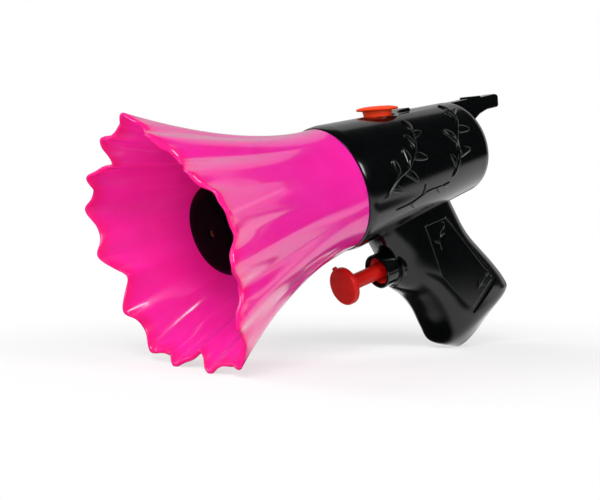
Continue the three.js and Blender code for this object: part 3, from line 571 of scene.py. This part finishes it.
def plate(points, near, far, edge=0.0):
    """An outline of (along, up) points, thickened from near to far across, with rounded edges."""
    form = bmesh.new()
    face = form.faces.new([form.verts.new((x, near, z)) for x, z in points])
    grown = bmesh.ops.extrude_face_region(form, geom=[face])["geom"]
    bmesh.ops.translate(form, vec=(0, far - near, 0), verts=only(bmesh.types.BMVert, grown))
    outward(form)
    if edge:
        rims = [e for e in form.edges if abs(e.verts[0].co.y - e.verts[1].co.y) < WELD]
        bmesh.ops.bevel(form, geom=rims, offset=edge, segments=EDGE_SEGMENTS, profile=0.5,
                        affect="EDGES", material=-1)
    return form


def placed(outline, along):
    """An outline set on top of the barrel at a station."""
    return [(along + x, barrel_top(along) + z) for x, z in outline]


fin = plate(placed(FIN, BARREL_LENGTH), -FIN_HALF, FIN_HALF, FIN_EDGE)
sight_pad = plate(placed(SIGHT_PAD, FILLER_AT), -SIGHT_PAD_HALF, SIGHT_PAD_HALF, SIGHT_PAD_EDGE)
print("fin faces", len(fin.faces), "pad faces", len(sight_pad.faces))

# %% [markdown]
# Each side of the grip has a sunken panel whose walls lean outward, as a mould needs them to. Inset
# faces would break the grip's smooth rings, so a block is made from the panel's outline, widened at
# its mouth and carved out later. The collar that carries the plunger is turned.

# %% Grip panels and collar
PANEL = [(30, -20), (40.3, -20), (57, -48.5), (43.5, -56), (32.6, -39.5)]
PANEL_FLOOR, PANEL_DRAFT = 9.0, 1.45
PANEL_MOUTH = 2 * PANEL_FLOOR
PUMP_DROP, COLLAR_FRONT, COLLAR_RADIUS, COLLAR_EDGE = 31.7, 13.4, 5.8, 0.3
BOSS_FRONT, BOSS_REAR, BOSS_RADIUS, BOSS_EDGE = 19.0, 22.0, 7.2, 0.4
TO_PUMP = Matrix.Translation((0, 0, -PUMP_DROP))

panel_middle = sum((Vector(corner) for corner in PANEL), Vector((0, 0))) / len(PANEL)
panels = []
for side in (-1, 1):
    cut = plate(PANEL, side * PANEL_FLOOR, side * PANEL_MOUTH)
    mouth = [v for v in cut.verts if abs(v.co.y) > (PANEL_FLOOR + PANEL_MOUTH) / 2]
    bmesh.ops.scale(cut, vec=(PANEL_DRAFT, 1, PANEL_DRAFT), verts=mouth,
                    space=Matrix.Translation((-panel_middle.x, 0, -panel_middle.y)))
    panels.append(cut)
collar_profile = [
    (COLLAR_FRONT, 0), (COLLAR_FRONT, COLLAR_RADIUS - COLLAR_EDGE),
    (COLLAR_FRONT + COLLAR_EDGE, COLLAR_RADIUS), (BOSS_FRONT, COLLAR_RADIUS),
    (BOSS_FRONT, BOSS_RADIUS - BOSS_EDGE), (BOSS_FRONT + BOSS_EDGE, BOSS_RADIUS),
    (BOSS_REAR, BOSS_RADIUS), (BOSS_REAR, 0)]
collar = moved(turned(collar_profile), TO_PUMP)
print("panels", len(panels), "collar faces", len(collar.faces))

# %% [markdown]
# The body is joined, hollowed and bored while it is level, then parted at the middle plane into its
# two mouldings. One whole body would look much the same, but the parting would be lost: a hair of a
# gap stays along the weld and reads as the parting line on top of the fin.

# %% Bores of the body
FILLER_TILT, FILLER_WALL, FILLER_ABOVE, POST_SHORT, OVERCUT = 11.0, 1.4, 4.0, 1.0, 1.0
PLUG_RADIUS, PLUG_DEPTH = 4.6, 5.0
BUSH_RADIUS, BUSH_FLANGE = 4.55, 1.1
CYLINDER_FRONT, CYLINDER_REAR, CYLINDER_RADIUS, END_CAP_FLANGE = 21.6, 45.2, 5.4, 1.5
TO_FILLER = (Matrix.Translation((FILLER_AT, 0, barrel_top(FILLER_AT)))
             @ Matrix.Rotation(math.radians(FILLER_TILT), 4, "Y")
             @ Matrix.Rotation(-math.pi / 2, 4, "Y"))


def rod(start, stop, radius):
    """A plain closed rod along X."""
    return turned([(start, 0), (start, radius), (stop, radius), (stop, 0)])


filler_bore = PLUG_RADIUS + GAP
bush_flange_front = CYLINDER_FRONT - GAP - BUSH_FLANGE
pocket_front = bush_flange_front - GAP
pocket_rear = CYLINDER_REAR + END_CAP_FLANGE + 2 * GAP
neck_post = rod(POST_SHORT - PLUG_DEPTH, -SHELL_WALL / 2, filler_bore + FILLER_WALL)
bores = [
    moved(rod(COLLAR_FRONT - OVERCUT, pocket_front, BUSH_RADIUS + GAP), TO_PUMP),
    moved(rod(pocket_front, pocket_rear, CYLINDER_RADIUS + GAP), TO_PUMP),
    moved(rod(-PLUG_DEPTH - OVERCUT, FILLER_ABOVE, filler_bore), TO_FILLER), *panels]
print("bores and panels", len(bores))

# %% Body halves
SIDES = ((-1, "left"), (1, "right"))
SEAM_GAP, CUT_SIZE = 0.16, 400
solid = barrel
for operation, forms in (("UNION", (grip, fin, sight_pad, collar)),
                         ("DIFFERENCE", (neck_seat, tank, grip_hollow)),
                         ("UNION", (moved(neck_post, TO_FILLER),)), ("DIFFERENCE", bores)):
    for form in forms:
        solid = combined(solid, form, operation)
for side, hand in SIDES:
    beyond = bmesh.new()
    bmesh.ops.create_cube(beyond, size=CUT_SIZE)
    bmesh.ops.translate(beyond, vec=(0, -side * (CUT_SIZE - SEAM_GAP) / 2, 0), verts=beyond.verts)
    half = combined(solid.copy(), beyond, "DIFFERENCE")
    finished("body_half_" + hand, half, black_gloss, "body", "black_body", "body_" + hand, sharp=28)
solid.free()

# %% [markdown]
# ## Raised work on the mouldings
# The barrel's sides carry low raised work, a plain trailing sprig of leaves, and the grip has a
# sunken panel with a thin raised border. A bump map would be quicker, but it vanishes at the
# outline and in the mesh. A stroke is a flat grid drawn along a path: its cross section is crowned,
# it thins towards its tip, and it is thickened so that it closes and roots in the wall. A leaf is
# the same grid with a swelling width and a vein pressed along its middle.

# %% Strokes
ROOT, ROOT_POWER = 0.2, 4
STROKE_GRID, LEAF_GRID = (36, 8), (22, 12)
PATH_STEP, END_EASE, CROWN_POWER, STEM_TAPER = 0.02, 0.08, 0.75, 0.55
LEAF_ENDS, LEAF_POWER, VEIN_DEPTH, VEIN_WIDTH = (0.03, 0.985), 0.75, 0.6, 0.15


def heading(path, t, step):
    """The way of a path at t, from a step before it to a step after it."""
    near, far = through(path, max(t - step, 0)), through(path, min(t + step, len(path) - 1))
    return (far - near).normalized()


def stroke(path, width, height, carrier, grid=STROKE_GRID, leaf=False, taper=STEM_TAPER):
    """A raised stroke along a path of flat points, laid on a carrier of (point, lift)."""
    form = bmesh.new()
    bmesh.ops.create_grid(form, x_segments=grid[0], y_segments=grid[1], size=1)
    for point in form.verts:
        share, v = (point.co.x + 1) / 2, point.co.y
        t = share * (len(path) - 1)
        way = heading(path, t, PATH_STEP)
        ends = min(1, share / END_EASE, (1 - share) / END_EASE)
        swell, crown = 1 - taper * share, (1 - v * v) ** CROWN_POWER * ends
        if leaf:
            swell = math.sin(math.pi * min(max(share, LEAF_ENDS[0]), LEAF_ENDS[1])) ** LEAF_POWER
            crown *= 1 - VEIN_DEPTH * math.exp(-(v / VEIN_WIDTH) ** 2) * (1 - share)
        spot = through(path, t) + Vector((-way.y, way.x)) * v * width / 2 * swell
        point.co = carrier(spot, height * crown - ROOT * (1 - crown) ** ROOT_POWER)
    outward(form)
    bmesh.ops.solidify(form, geom=list(form.faces), thickness=ROOT)
    return outward(form)


print("points of a stroke and of a leaf:", STROKE_GRID, LEAF_GRID)

# %% Sprigs
STEM_WIDTH, RELIEF, SLOPE_STEP = 1.0, 0.42, 0.05
LEAF_WIDTH, LEAF_MIDDLE, LEAF_BEND = 0.46, 0.5, 0.12


def gathered(forms):
    """Several forms as one."""
    whole = bmesh.new()
    for form in forms:
        mesh = bpy.data.meshes.new("part")
        form.to_mesh(mesh)
        form.free()
        whole.from_mesh(mesh)
        bpy.data.meshes.remove(mesh)
    return whole


def sprig(stem, leaves, carrier, stem_width=STEM_WIDTH, height=RELIEF):
    """A stem with leaves of (share along, side, length, lean in degrees)."""
    forms = [stroke(stem, stem_width, height, carrier)]
    for share, side, length, lean in leaves:
        t = share * (len(stem) - 1)
        foot, way = through(stem, t), heading(stem, t, SLOPE_STEP)
        turn = math.radians(lean) * side
        out = Vector((way.x * math.cos(turn) - way.y * math.sin(turn),
                      way.x * math.sin(turn) + way.y * math.cos(turn)))
        bend = Vector((-out.y, out.x)) * side * length * LEAF_BEND
        midrib = [foot, foot + out * length * LEAF_MIDDLE - bend, foot + out * length]
        forms.append(stroke(midrib, length * LEAF_WIDTH, height, carrier, LEAF_GRID, leaf=True))
    return forms


print("raised work stands", RELIEF, "mm proud")

# %% What carries raised work
def barrel_side(side):
    """Carries (along, down from the top round the side) points on the barrel."""
    def carrier(spot, lift):
        radius = barrel_radius(spot.x)
        angle = spot.y / radius
        reach = radius + lift
        return (spot.x, side * reach * math.sin(angle),
                reach * math.cos(angle) - BARREL_DROOP * spot.x / BARREL_LENGTH)
    return carrier


def panel_side(side):
    """Carries (along, up) points on the floor of a grip panel."""
    return lambda spot, lift: (spot.x, side * (PANEL_FLOOR + lift), spot.y)


print("a panel's floor lies", PANEL_FLOOR, "mm from the middle")

# %% Sprigs on the barrel and borders on the grip
FRONT_SPRIG = ([(7, 37), (14, 31), (20, 28), (26, 22), (29, 15)],
               [(0.12, 1, 6.0, 55), (0.24, -1, 6.5, 50), (0.38, 1, 7.0, 52), (0.5, -1, 6.5, 50),
                (0.62, 1, 6.2, 50), (0.74, -1, 5.6, 48), (0.86, 1, 5.0, 45), (0.97, -1, 5.2, 12)])
REAR_SPRIG = ([(40, 34), (44, 28), (46, 21), (51, 14), (52, 9)],
              [(0.14, -1, 5.6, 55), (0.28, 1, 6.2, 52), (0.44, -1, 6.4, 50), (0.58, 1, 6.0, 50),
               (0.72, -1, 5.4, 48), (0.85, 1, 4.8, 45), (0.97, -1, 4.8, 10)])
LOW_SPRIG = ([(12, 41.5), (20, 40), (28, 37), (36, 36)],
             [(0.3, 1, 3.6, 50), (0.55, -1, 4.0, 48), (0.8, 1, 3.4, 45), (0.96, -1, 3.6, 8)])
BORDER_INSET, BORDER_WIDTH, BORDER_HEIGHT = 0.94, 0.7, 0.18
UPPER_STEM = [(35.5, -31), (35.6, -27), (37.4, -24.4)]
LOWER_STEM = [(46.5, -49.5), (49.5, -48.6), (52.6, -46.2)]
CORNER_LEAVES = [(0.3, 1, 3.0, 55), (0.55, -1, 3.0, 50), (0.97, 1, 2.8, 10)]
CORNER_WIDTH, CORNER_HEIGHT = 0.6, 0.2

border = [panel_middle + (Vector(corner) - panel_middle) * BORDER_INSET for corner in PANEL]
for side, hand in SIDES:
    carrier = barrel_side(side)
    raised = [form for stem, leaves in (FRONT_SPRIG, REAR_SPRIG, LOW_SPRIG)
              for form in sprig(stem, leaves, carrier)]
    finished("barrel_sprigs_" + hand, gathered(raised), black_gloss, "body", "black_body", sharp=50)
    floor_of = panel_side(side)
    lines = [stroke([a, (a + b) / 2, b], BORDER_WIDTH, BORDER_HEIGHT, floor_of, taper=0)
             for a, b in zip(border, border[1:] + border[:1])]
    for stem in (UPPER_STEM, LOWER_STEM):
        lines += sprig(stem, CORNER_LEAVES, floor_of, CORNER_WIDTH, CORNER_HEIGHT)
    finished("grip_border_" + hand, gathered(lines), black_gloss, "body", "black_body", sharp=50)

# %% [markdown]
# ## Plug, plunger and bush
# The orange plug is a mushroom pushed into the filler hole. The red plunger is a pad on a stem that
# carries the piston, and it slides in a bush. Cylinders with a Bevel modifier would come close, but
# turned profiles also give the lid's crown, the stem's flare and the seal's groove, with small
# rounded edges that catch the light.

# %% Filler plug
LID_RADIUS, LID_HEIGHT, LID_EDGE, LID_STEPS = 6.9, 1.8, 0.9, 8
LID_CROWN, LID_CURVE = 0.6, ((1, 0), (0.97, 0.25), (0.82, 0.55), (0.4, 0.8))
PLUG_WALL, SHOULDER_RADIUS, SHOULDER_RISE, SHOULDER_FOOT = 1.3, 4.9, 1.2, 0.3

lid_top, plug_bore = LID_HEIGHT + LID_EDGE / 2, PLUG_RADIUS - PLUG_WALL
lid_crown = [(lid_top + LID_CROWN * rise, LID_RADIUS * reach) for rise, reach in LID_CURVE]
lid_rim = arc((LID_HEIGHT, LID_RADIUS - LID_EDGE / 2), LID_EDGE / 2, 0, 180, LID_STEPS)
plug_profile = [
    *lid_crown, *lid_rim, (SHOULDER_RISE, SHOULDER_RADIUS), (-SHOULDER_FOOT, PLUG_RADIUS),
    (-PLUG_DEPTH, PLUG_RADIUS - GAP), (-PLUG_DEPTH, plug_bore), (SHOULDER_FOOT, plug_bore),
    (SHOULDER_FOOT, 0)]
finished("mushroom_plug", moved(turned(plug_profile), TO_FILLER), orange_satin, "filler_plug",
         "orange_plug", "filler_plug")

# %% Plunger
PAD_FRONT, PAD_RADIUS, PAD_THICKNESS, PAD_EDGE, PAD_STEPS = -2.0, 6.25, 2.4, 0.6, 6
STEM_RADIUS, STEM_ROOT, STEM_FLARE = 2.55, 0.5, ((0, 1), (0.3, 0.3), (2, 0))
PISTON_RADIUS, PISTON_LENGTH, SEAL_RADIUS, SEAL_WIRE = 3.9, 4.6, 3.45, 0.6
NUB_TURN, NUB_SIZE, NUB_EDGE = math.radians(28), (1.3, 1.5, 1.6), 0.2

bush_rear = bush_flange_front + BUSH_FLANGE
piston_front = bush_rear + GAP
piston_rear = piston_front + PISTON_LENGTH
pad_rear, pad_corner = PAD_FRONT + PAD_THICKNESS, PAD_RADIUS - PAD_EDGE
groove_half, groove_middle = SEAL_WIRE + GAP, (piston_front + piston_rear) / 2
groove_front, groove_rear = groove_middle - groove_half, groove_middle + groove_half
groove_floor = SEAL_RADIUS - SEAL_WIRE - GAP
stem_flare = [(pad_rear + STEM_ROOT * a, STEM_RADIUS + STEM_ROOT * b) for a, b in STEM_FLARE]
plunger_profile = [
    (PAD_FRONT, 0), *arc((PAD_FRONT + PAD_EDGE, pad_corner), PAD_EDGE, 180, 90, PAD_STEPS),
    *arc((pad_rear - PAD_EDGE, pad_corner), PAD_EDGE, 90, 0, PAD_STEPS), *stem_flare,
    (piston_front, STEM_RADIUS), (piston_front, PISTON_RADIUS), (groove_front, PISTON_RADIUS),
    (groove_front, groove_floor), (groove_rear, groove_floor), (groove_rear, PISTON_RADIUS),
    (piston_rear, PISTON_RADIUS), (piston_rear, 0)]
nub = bmesh.new()
bmesh.ops.create_cube(nub, size=1)
bmesh.ops.bevel(nub, geom=list(nub.edges), offset=NUB_EDGE, segments=2, profile=0.5,
                affect="EDGES", material=-1)
bmesh.ops.scale(nub, vec=NUB_SIZE, verts=nub.verts)
bmesh.ops.translate(nub, vec=((PAD_FRONT + pad_rear) / 2, 0, PAD_RADIUS), verts=nub.verts)
bmesh.ops.rotate(nub, cent=(0, 0, 0), matrix=Matrix.Rotation(-NUB_TURN, 3, "X"), verts=nub.verts)
plunger = combined(turned(plunger_profile), nub, "UNION")
finished("push_plunger", moved(plunger, TO_PUMP), red_satin, "plunger", "red_plastic", "plunger")

# %% Seal and bush
SEAL_SIDES, STEM_CLEARANCE, BUSH_RECESS, BUSH_DISH = 12, 0.35, 1.3, 1.5
seal_end = 360 - 360 / SEAL_SIDES
seal = turned(arc((groove_middle, SEAL_RADIUS), SEAL_WIRE, 0, seal_end, SEAL_SIDES - 1), ring=True)
finished("piston_ring", moved(seal, TO_PUMP), seal_rubber, "plunger", "seal_rubber", "piston_seal",
         sharp=60)
bush_front, stem_way = COLLAR_FRONT + BUSH_RECESS, STEM_RADIUS + STEM_CLEARANCE
bush_profile = [
    (bush_front, BUSH_RADIUS), (bush_flange_front, BUSH_RADIUS),
    (bush_flange_front, CYLINDER_RADIUS), (bush_rear, CYLINDER_RADIUS), (bush_rear, stem_way),
    (bush_front + BUSH_DISH, stem_way), (bush_front, BUSH_RADIUS - GAP)]
finished("gland_ring", moved(turned(bush_profile, ring=True), TO_PUMP), red_satin, "body",
         "red_plastic", "gland_bush")

# %% [markdown]
# ## Springs
# They work unseen inside: one pushes the plunger back, and a small one seats the outlet ball. A
# curve with a round bevel would draw a coil too, but it has to be turned into a mesh. A small
# circle spun about the axis, with a step forward at each turn of the screw, is a mesh at once.

# %% Return spring
SPRING_RADIUS, SPRING_WIRE, SPRING_TURNS = 3.2, 0.35, 7
END_CAP_SPIGOT, STROKE = 1.7, 10.0
TURN_STEPS, WIRE_SIDES = 24, 8


def wound(radius, wire, turns, length):
    """A coil of wire along X from 0 to length."""
    form = bmesh.new()
    ring = bmesh.ops.create_circle(form, segments=WIRE_SIDES, radius=wire)["verts"]
    bmesh.ops.translate(form, vec=(wire, radius, 0), verts=ring)
    steps = turns * TURN_STEPS
    bmesh.ops.spin(form, geom=list(form.verts) + list(form.edges), cent=(0, 0, 0), axis=(1, 0, 0),
                   dvec=((length - 2 * wire) / steps, 0, 0), angle=2 * math.pi * turns, steps=steps)
    bmesh.ops.holes_fill(form, edges=[e for e in form.edges if e.is_boundary])
    return outward(form)


spring_front, spring_rear = piston_rear + GAP, CYLINDER_REAR - END_CAP_SPIGOT - GAP
in_cylinder = TO_PUMP @ Matrix.Translation((spring_front, 0, 0))
coil = wound(SPRING_RADIUS, SPRING_WIRE, SPRING_TURNS, spring_rear - spring_front)
return_coil = finished("return_coil", moved(coil, in_cylinder), spring_steel, "body",
                       "spring_steel", "return_spring", sharp=60)
tuple(resting(spring_rear, 0, -PUMP_DROP))
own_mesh(return_coil)

# %% Outlet spring
VALVE_SPRING_RADIUS, VALVE_SPRING_WIRE, VALVE_SPRING_TURNS = 1.2, 0.2, 4
VALVE_AT, CYLINDER_BORE, PORT_RADIUS, PORT_LENGTH, BALL_RADIUS = 40.4, 4.3, 1.0, 2.4, 1.6
OUTLET_CHAMBER, VALVE_SPIGOT, OUTLET_LIFT = 9.0, 1.7, 1.0
TO_VALVES = Matrix.Translation((VALVE_AT, 0, -PUMP_DROP))

port_top = CYLINDER_BORE + PORT_LENGTH
ball_seat = math.sqrt(BALL_RADIUS ** 2 - PORT_RADIUS ** 2) + GAP / 2
coil_foot = port_top + ball_seat + BALL_RADIUS + GAP
coil_top = port_top + OUTLET_CHAMBER - VALVE_SPIGOT - GAP
upright_coil = Matrix.Translation((0, 0, coil_foot)) @ Matrix.Rotation(-math.pi / 2, 4, "Y")
coil = wound(VALVE_SPRING_RADIUS, VALVE_SPRING_WIRE, VALVE_SPRING_TURNS, coil_top - coil_foot)
outlet_coil = finished("outlet_coil", moved(coil, TO_VALVES @ upright_coil), spring_steel, "body",
                       "spring_steel", "outlet_spring", sharp=60)
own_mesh(outlet_coil)

# %% [markdown]
# ## Hoses
# Two soft tubes carry the water, one from the foot of the grip to the pump and one from the pump to
# the nozzle. A bevelled curve would look the same from outside, but it has no bore. A hose starts
# as a flat ring that is extruded, spun round its bend and extruded again, so it stays open inside.

# %% Hoses
HOSE_BEND, SUCTION_END = 10.0, -62.5
INLET_CHAMBER, VALVE_FLANGE = 8.0, 1.5
HOSE_SIDES, BEND_STEPS = 24, 12
BEND_MIDDLE = (VALVE_AT - HOSE_BEND, 0, -HOSE_BEND)


def hose(start, way, runs):
    """A tube from start along a way; a run is a length, or None for the bend to the muzzle."""
    form = bmesh.new()
    for radius in (HOSE_RADIUS, HOSE_BORE):
        bmesh.ops.create_circle(form, segments=HOSE_SIDES, radius=radius)
    bmesh.ops.bridge_loops(form, edges=list(form.edges))
    section = list(form.faces)
    turn = Vector((0, 0, 1)).rotation_difference(way).to_matrix()
    bmesh.ops.rotate(form, cent=(0, 0, 0), matrix=turn, verts=form.verts)
    bmesh.ops.translate(form, vec=start, verts=form.verts)
    for step, run in enumerate(runs):
        before = section
        if run is None:
            grown = bmesh.ops.spin(form, geom=section, cent=BEND_MIDDLE, axis=(0, -1, 0),
                                   angle=math.pi / 2, steps=BEND_STEPS)["geom_last"]
            way = Vector((-1, 0, 0))
        else:
            grown = bmesh.ops.extrude_face_region(form, geom=section)["geom"]
            bmesh.ops.translate(form, vec=way * run, verts=only(bmesh.types.BMVert, grown))
        section = only(bmesh.types.BMFace, grown)
        if step:
            inner = [face for face in before if face.is_valid]
            bmesh.ops.delete(form, geom=inner, context="FACES_ONLY")
    bmesh.ops.remove_doubles(form, verts=form.verts, dist=WELD)
    return outward(form)


hose_foot = -PUMP_DROP + port_top + OUTLET_CHAMBER + VALVE_FLANGE + 2 * GAP
hose_front = nozzle_end + GAP
delivery = hose((VALVE_AT, 0, hose_foot), Vector((0, 0, 1)),
                [-HOSE_BEND - hose_foot, None, VALVE_AT - HOSE_BEND - hose_front])
finished("delivery_tube", delivery, hose_milky, "body", "hose", "delivery_hose")
suction_top = -PUMP_DROP - port_top - INLET_CHAMBER - VALVE_FLANGE - 2 * GAP
suction = hose((VALVE_AT, 0, suction_top), Vector((0, 0, -1)), [suction_top - SUCTION_END])
finished("suction_tube", suction, hose_milky, "body", "hose", "suction_hose")

# %% [markdown]
# ## Finishes on the unseen solids
# The pump's other solids, such as its cylinder and valve balls, are plain turned shapes. They could
# be modelled again, but the frame already has them right, so they only take a finish in their own
# material slots.

# %% Pump solids
INNER_FINISHES = [
    (natural_plastic, ("pump_cylinder", "pump_end_cap", "outlet_cap", "inlet_seat")),
    (spring_steel, ("outlet_ball", "inlet_ball"))]
for finish, names in INNER_FINISHES:
    for name in names:
        frame["nodes"][name].data.materials.clear()
        frame["nodes"][name].data.materials.append(finish)
    print(finish.name, "on", names)

# %% [markdown]
# ## Floor and backdrop
# The toy lies on a white sweep: paper that runs back and then curves up, so that no edge shows
# behind the toy. Two planes with a bevel would do as well. Here the far edge of a grid is spun up
# through a quarter turn and extruded, which makes one smooth sheet in three steps.

# %% Sheet of paper
FLOOR_SIZE = 6.0
SWEEP_AWAY, SWEEP_RADIUS, SWEEP_HEIGHT, SWEEP_STEPS = 0.9, 0.5, 1.6, 16
sheet = bmesh.new()
bmesh.ops.create_grid(sheet, x_segments=1, y_segments=1, size=FLOOR_SIZE / 2)
bmesh.ops.translate(sheet, vec=(0, SWEEP_AWAY - FLOOR_SIZE / 2, 0), verts=sheet.verts)
far = [e for e in sheet.edges if all(abs(v.co.y - SWEEP_AWAY) < WELD for v in e.verts)]
curved = bmesh.ops.spin(sheet, geom=far, cent=(0, SWEEP_AWAY, SWEEP_RADIUS), axis=(1, 0, 0),
                        angle=math.pi / 2, steps=SWEEP_STEPS)["geom_last"]
wall = bmesh.ops.extrude_edge_only(sheet, edges=only(bmesh.types.BMEdge, curved))["geom"]
bmesh.ops.translate(sheet, vec=(0, 0, SWEEP_HEIGHT), verts=only(bmesh.types.BMVert, wall))
bmesh.ops.rotate(sheet, cent=(0, 0, 0), matrix=Matrix.Rotation(azimuth, 3, "Z"), verts=sheet.verts)
floor = as_object("floor", sheet)
print("floor", FLOOR_SIZE, "m wide")

# %% [markdown]
# The paper takes the toy's shadow and the pink bounce of its bell. A share of its own white, seen
# by the camera and in reflections only, keeps it pale without putting more light on the toy. In a
# studio, dark cards beside a glossy toy keep most of the bright paper out of its skin, so that
# black stays black and only chosen bands shine. Cards would shade the paper too, so here the
# reflections are painted instead. The paper glows to reflections only inside one window, a little
# less in a dip across it, and hardly at all in a few ovals of painted shade inside it. Most of the
# ovals lie where the toy's own shadow falls under it. The bands that shine on the black skin are
# these painted reflections.

# %% Sums for the paper's shader
SHADE_EDGE, DARK = (0.7, 1.3), 0.02
paper = bpy.data.materials.new("white_paper")
paper.use_nodes = True
tree = paper.node_tree
tree.nodes.clear()
place = node(tree, "ShaderNodeTexCoord").outputs["Object"]


def worked(kind, *values):
    """A math node, fed by sockets or plain numbers."""
    made = node(tree, "ShaderNodeMath")
    made.operation = kind
    for socket, value in zip(made.inputs, values):
        if isinstance(value, float):
            socket.default_value = value
        else:
            tree.links.new(value, socket)
    return made.outputs[0]


def measured(kind, vector, other=(0, 0, 0)):
    """A vector math node, fed by a socket and plain numbers."""
    made = node(tree, "ShaderNodeVectorMath")
    made.operation = kind
    made.inputs[1].default_value = other
    tree.links.new(vector, made.inputs[0])
    return made.outputs["Value" if kind == "LENGTH" else "Vector"]


def eased(value, start, end, low, high):
    """A value that goes softly from low to high between two places."""
    made = node(tree, "ShaderNodeMapRange", From_Min=start, From_Max=end, To_Min=low, To_Max=high)
    made.interpolation_type = "SMOOTHSTEP"
    tree.links.new(value, made.inputs["Value"])
    return made.outputs["Result"]


# An oval of painted shade in the paper's glow as reflections see it.
def shaded(centre, radii):
    """Nearly nought inside an oval on the floor and one outside it."""
    offset = measured("SUBTRACT", place, (*centre, 0))
    far_off = measured("LENGTH", measured("DIVIDE", offset, (*radii, 1)))
    return eased(far_off, *SHADE_EDGE, DARK, 1.0)


print("paper nodes so far:", len(tree.nodes))

# %% What reflections see of the paper
MIRROR_LEFT, MIRROR_MIDDLE, MIRROR_SIDE = (-0.040, -0.015), -0.03, (0.07, 0.24)
MIRROR_WALL, WALL_SHARE = (0.02, 0.25), 0.5
MIRROR_BACK, BACK_SHARE = (0.15, 0.45), 0.24
DIP_START, DIP_END, DIP_SHARE = (0.033, 0.040), (0.070, 0.100), 0.9
# Ovals of painted shade in the paper's glow for reflections, as (centre, radii) in metres; most lie
# where the toy's own shadow falls.
PAINTED_SHADE_OVALS = [((0.042, 0.011), (0.0085, 0.036)), ((-0.035, 0.04), (0.04, 0.04)),
          ((0.104, -0.085), (0.034, 0.036))]
spot = node(tree, "ShaderNodeSeparateXYZ")
tree.links.new(place, spot.inputs[0])
along, aside, up = spot.outputs
# The paper's glow strength for reflections is painted: a window, a dip and dark ovals, which paint
# the reflections on the toy's skin.
from_left = eased(along, *MIRROR_LEFT, DARK, 1.0)
dip = worked("MULTIPLY", eased(along, *DIP_START, 0.0, 1 - DIP_SHARE),
             eased(along, *DIP_END, 1.0, 0.0))
beside = worked("ABSOLUTE", worked("SUBTRACT", aside, MIRROR_MIDDLE))
near_by = eased(beside, *MIRROR_SIDE, 1.0, DARK)
painted_reflection = worked("MULTIPLY", worked("MULTIPLY", from_left, near_by), worked("SUBTRACT", 1.0, dip))
for centre, radii in PAINTED_SHADE_OVALS:
    painted_reflection = worked("MULTIPLY", painted_reflection, shaded(centre, radii))
painted_reflection = worked("MAXIMUM", painted_reflection, eased(aside, *MIRROR_BACK, 0.0, BACK_SHARE))
painted_reflection = worked("MAXIMUM", painted_reflection, eased(up, *MIRROR_WALL, 0.0, WALL_SHARE))
print("window of", len(PAINTED_SHADE_OVALS), "ovals, nodes so far:", len(tree.nodes))

# %% White paper
FLOOR_WHITE = 0.92
GLOW_NEAR, GLOW_FAR, NEAR, FAR = 0.63, 1.0, 0.06, 0.18
path = node(tree, "ShaderNodeLightPath")
glossy = path.outputs["Is Glossy Ray"]
seen = worked("MAXIMUM", path.outputs["Is Camera Ray"], path.outputs["Is Transmission Ray"])
away = measured("LENGTH", place)
share = worked("MULTIPLY", seen, eased(away, NEAR, FAR, GLOW_NEAR, GLOW_FAR))
brightness = worked("MAXIMUM", seen, worked("MULTIPLY", glossy, painted_reflection))
plain = node(tree, "ShaderNodeBsdfDiffuse", Color=(FLOOR_WHITE, FLOOR_WHITE, FLOOR_WHITE, 1))
glow = node(tree, "ShaderNodeEmission")
blend = node(tree, "ShaderNodeMixShader")
output = node(tree, "ShaderNodeOutputMaterial")
tree.links.new(brightness, glow.inputs["Strength"])
tree.links.new(worked("MAXIMUM", share, glossy), blend.inputs["Fac"])
tree.links.new(plain.outputs[0], blend.inputs[1])
tree.links.new(glow.outputs[0], blend.inputs[2])
tree.links.new(blend.outputs[0], output.inputs["Surface"])
floor.data.materials.append(paper)
floor.data.shade_smooth()
print("paper nodes:", len(tree.nodes))

# %% [markdown]
# ## Light
# The photograph has soft light from all round and a few small, crisp highlights. One large lamp
# would give both, but on a ribbed bell its reflection is a broad white veil. So the large softboxes
# stay out of reflections, and small lamps beside them draw the highlights.

# %% Lamps and sky
SKY = 0.03
TOY_MIDDLE = (0, 0, 0.045)
LAMPS = [("key_lamp", (-0.60, -0.60, 0.75), 0.55, 7.0, False),
         ("fill_lamp", (-1.00, -0.70, 0.18), 0.50, 3.4, False),
         ("spark_lamp", (-0.63, -0.55, 0.75), 0.16, 0.7, True),
         ("mouth_lamp", (-0.85, -0.05, 0.40), 0.35, 2.0, True),
         ("side_lamp", (0.10, -0.95, 0.55), 0.35, 4.5, True),
         ("back_lamp", (-0.55, 0.65, 0.80), 0.50, 4.0, False),
         ("back_spark", (-0.45, 0.75, 0.70), 0.16, 0.4, True)]
world = bpy.data.worlds.new("soft_room")
world.use_nodes = True
world.node_tree.nodes["Background"].inputs["Color"].default_value = (1, 1, 1, 1)
world.node_tree.nodes["Background"].inputs["Strength"].default_value = SKY
scene.world = world
for name, spot, size, watts, mirrored in LAMPS:
    light = bpy.data.lights.new(name, "AREA")
    light.shape, light.size, light.energy = "SQUARE", size, watts
    lamp = bpy.data.objects.new(name, light)
    lamp.location = spot
    lamp.visible_glossy = mirrored
    aim = Vector(spot) - Vector(TOY_MIDDLE)
    lamp.rotation_euler = aim.to_track_quat("Z", "Y").to_euler()
    scene.collection.objects.link(lamp)
scene.view_settings.view_transform = "Standard"
print("lamps:", [lamp[0] for lamp in LAMPS])
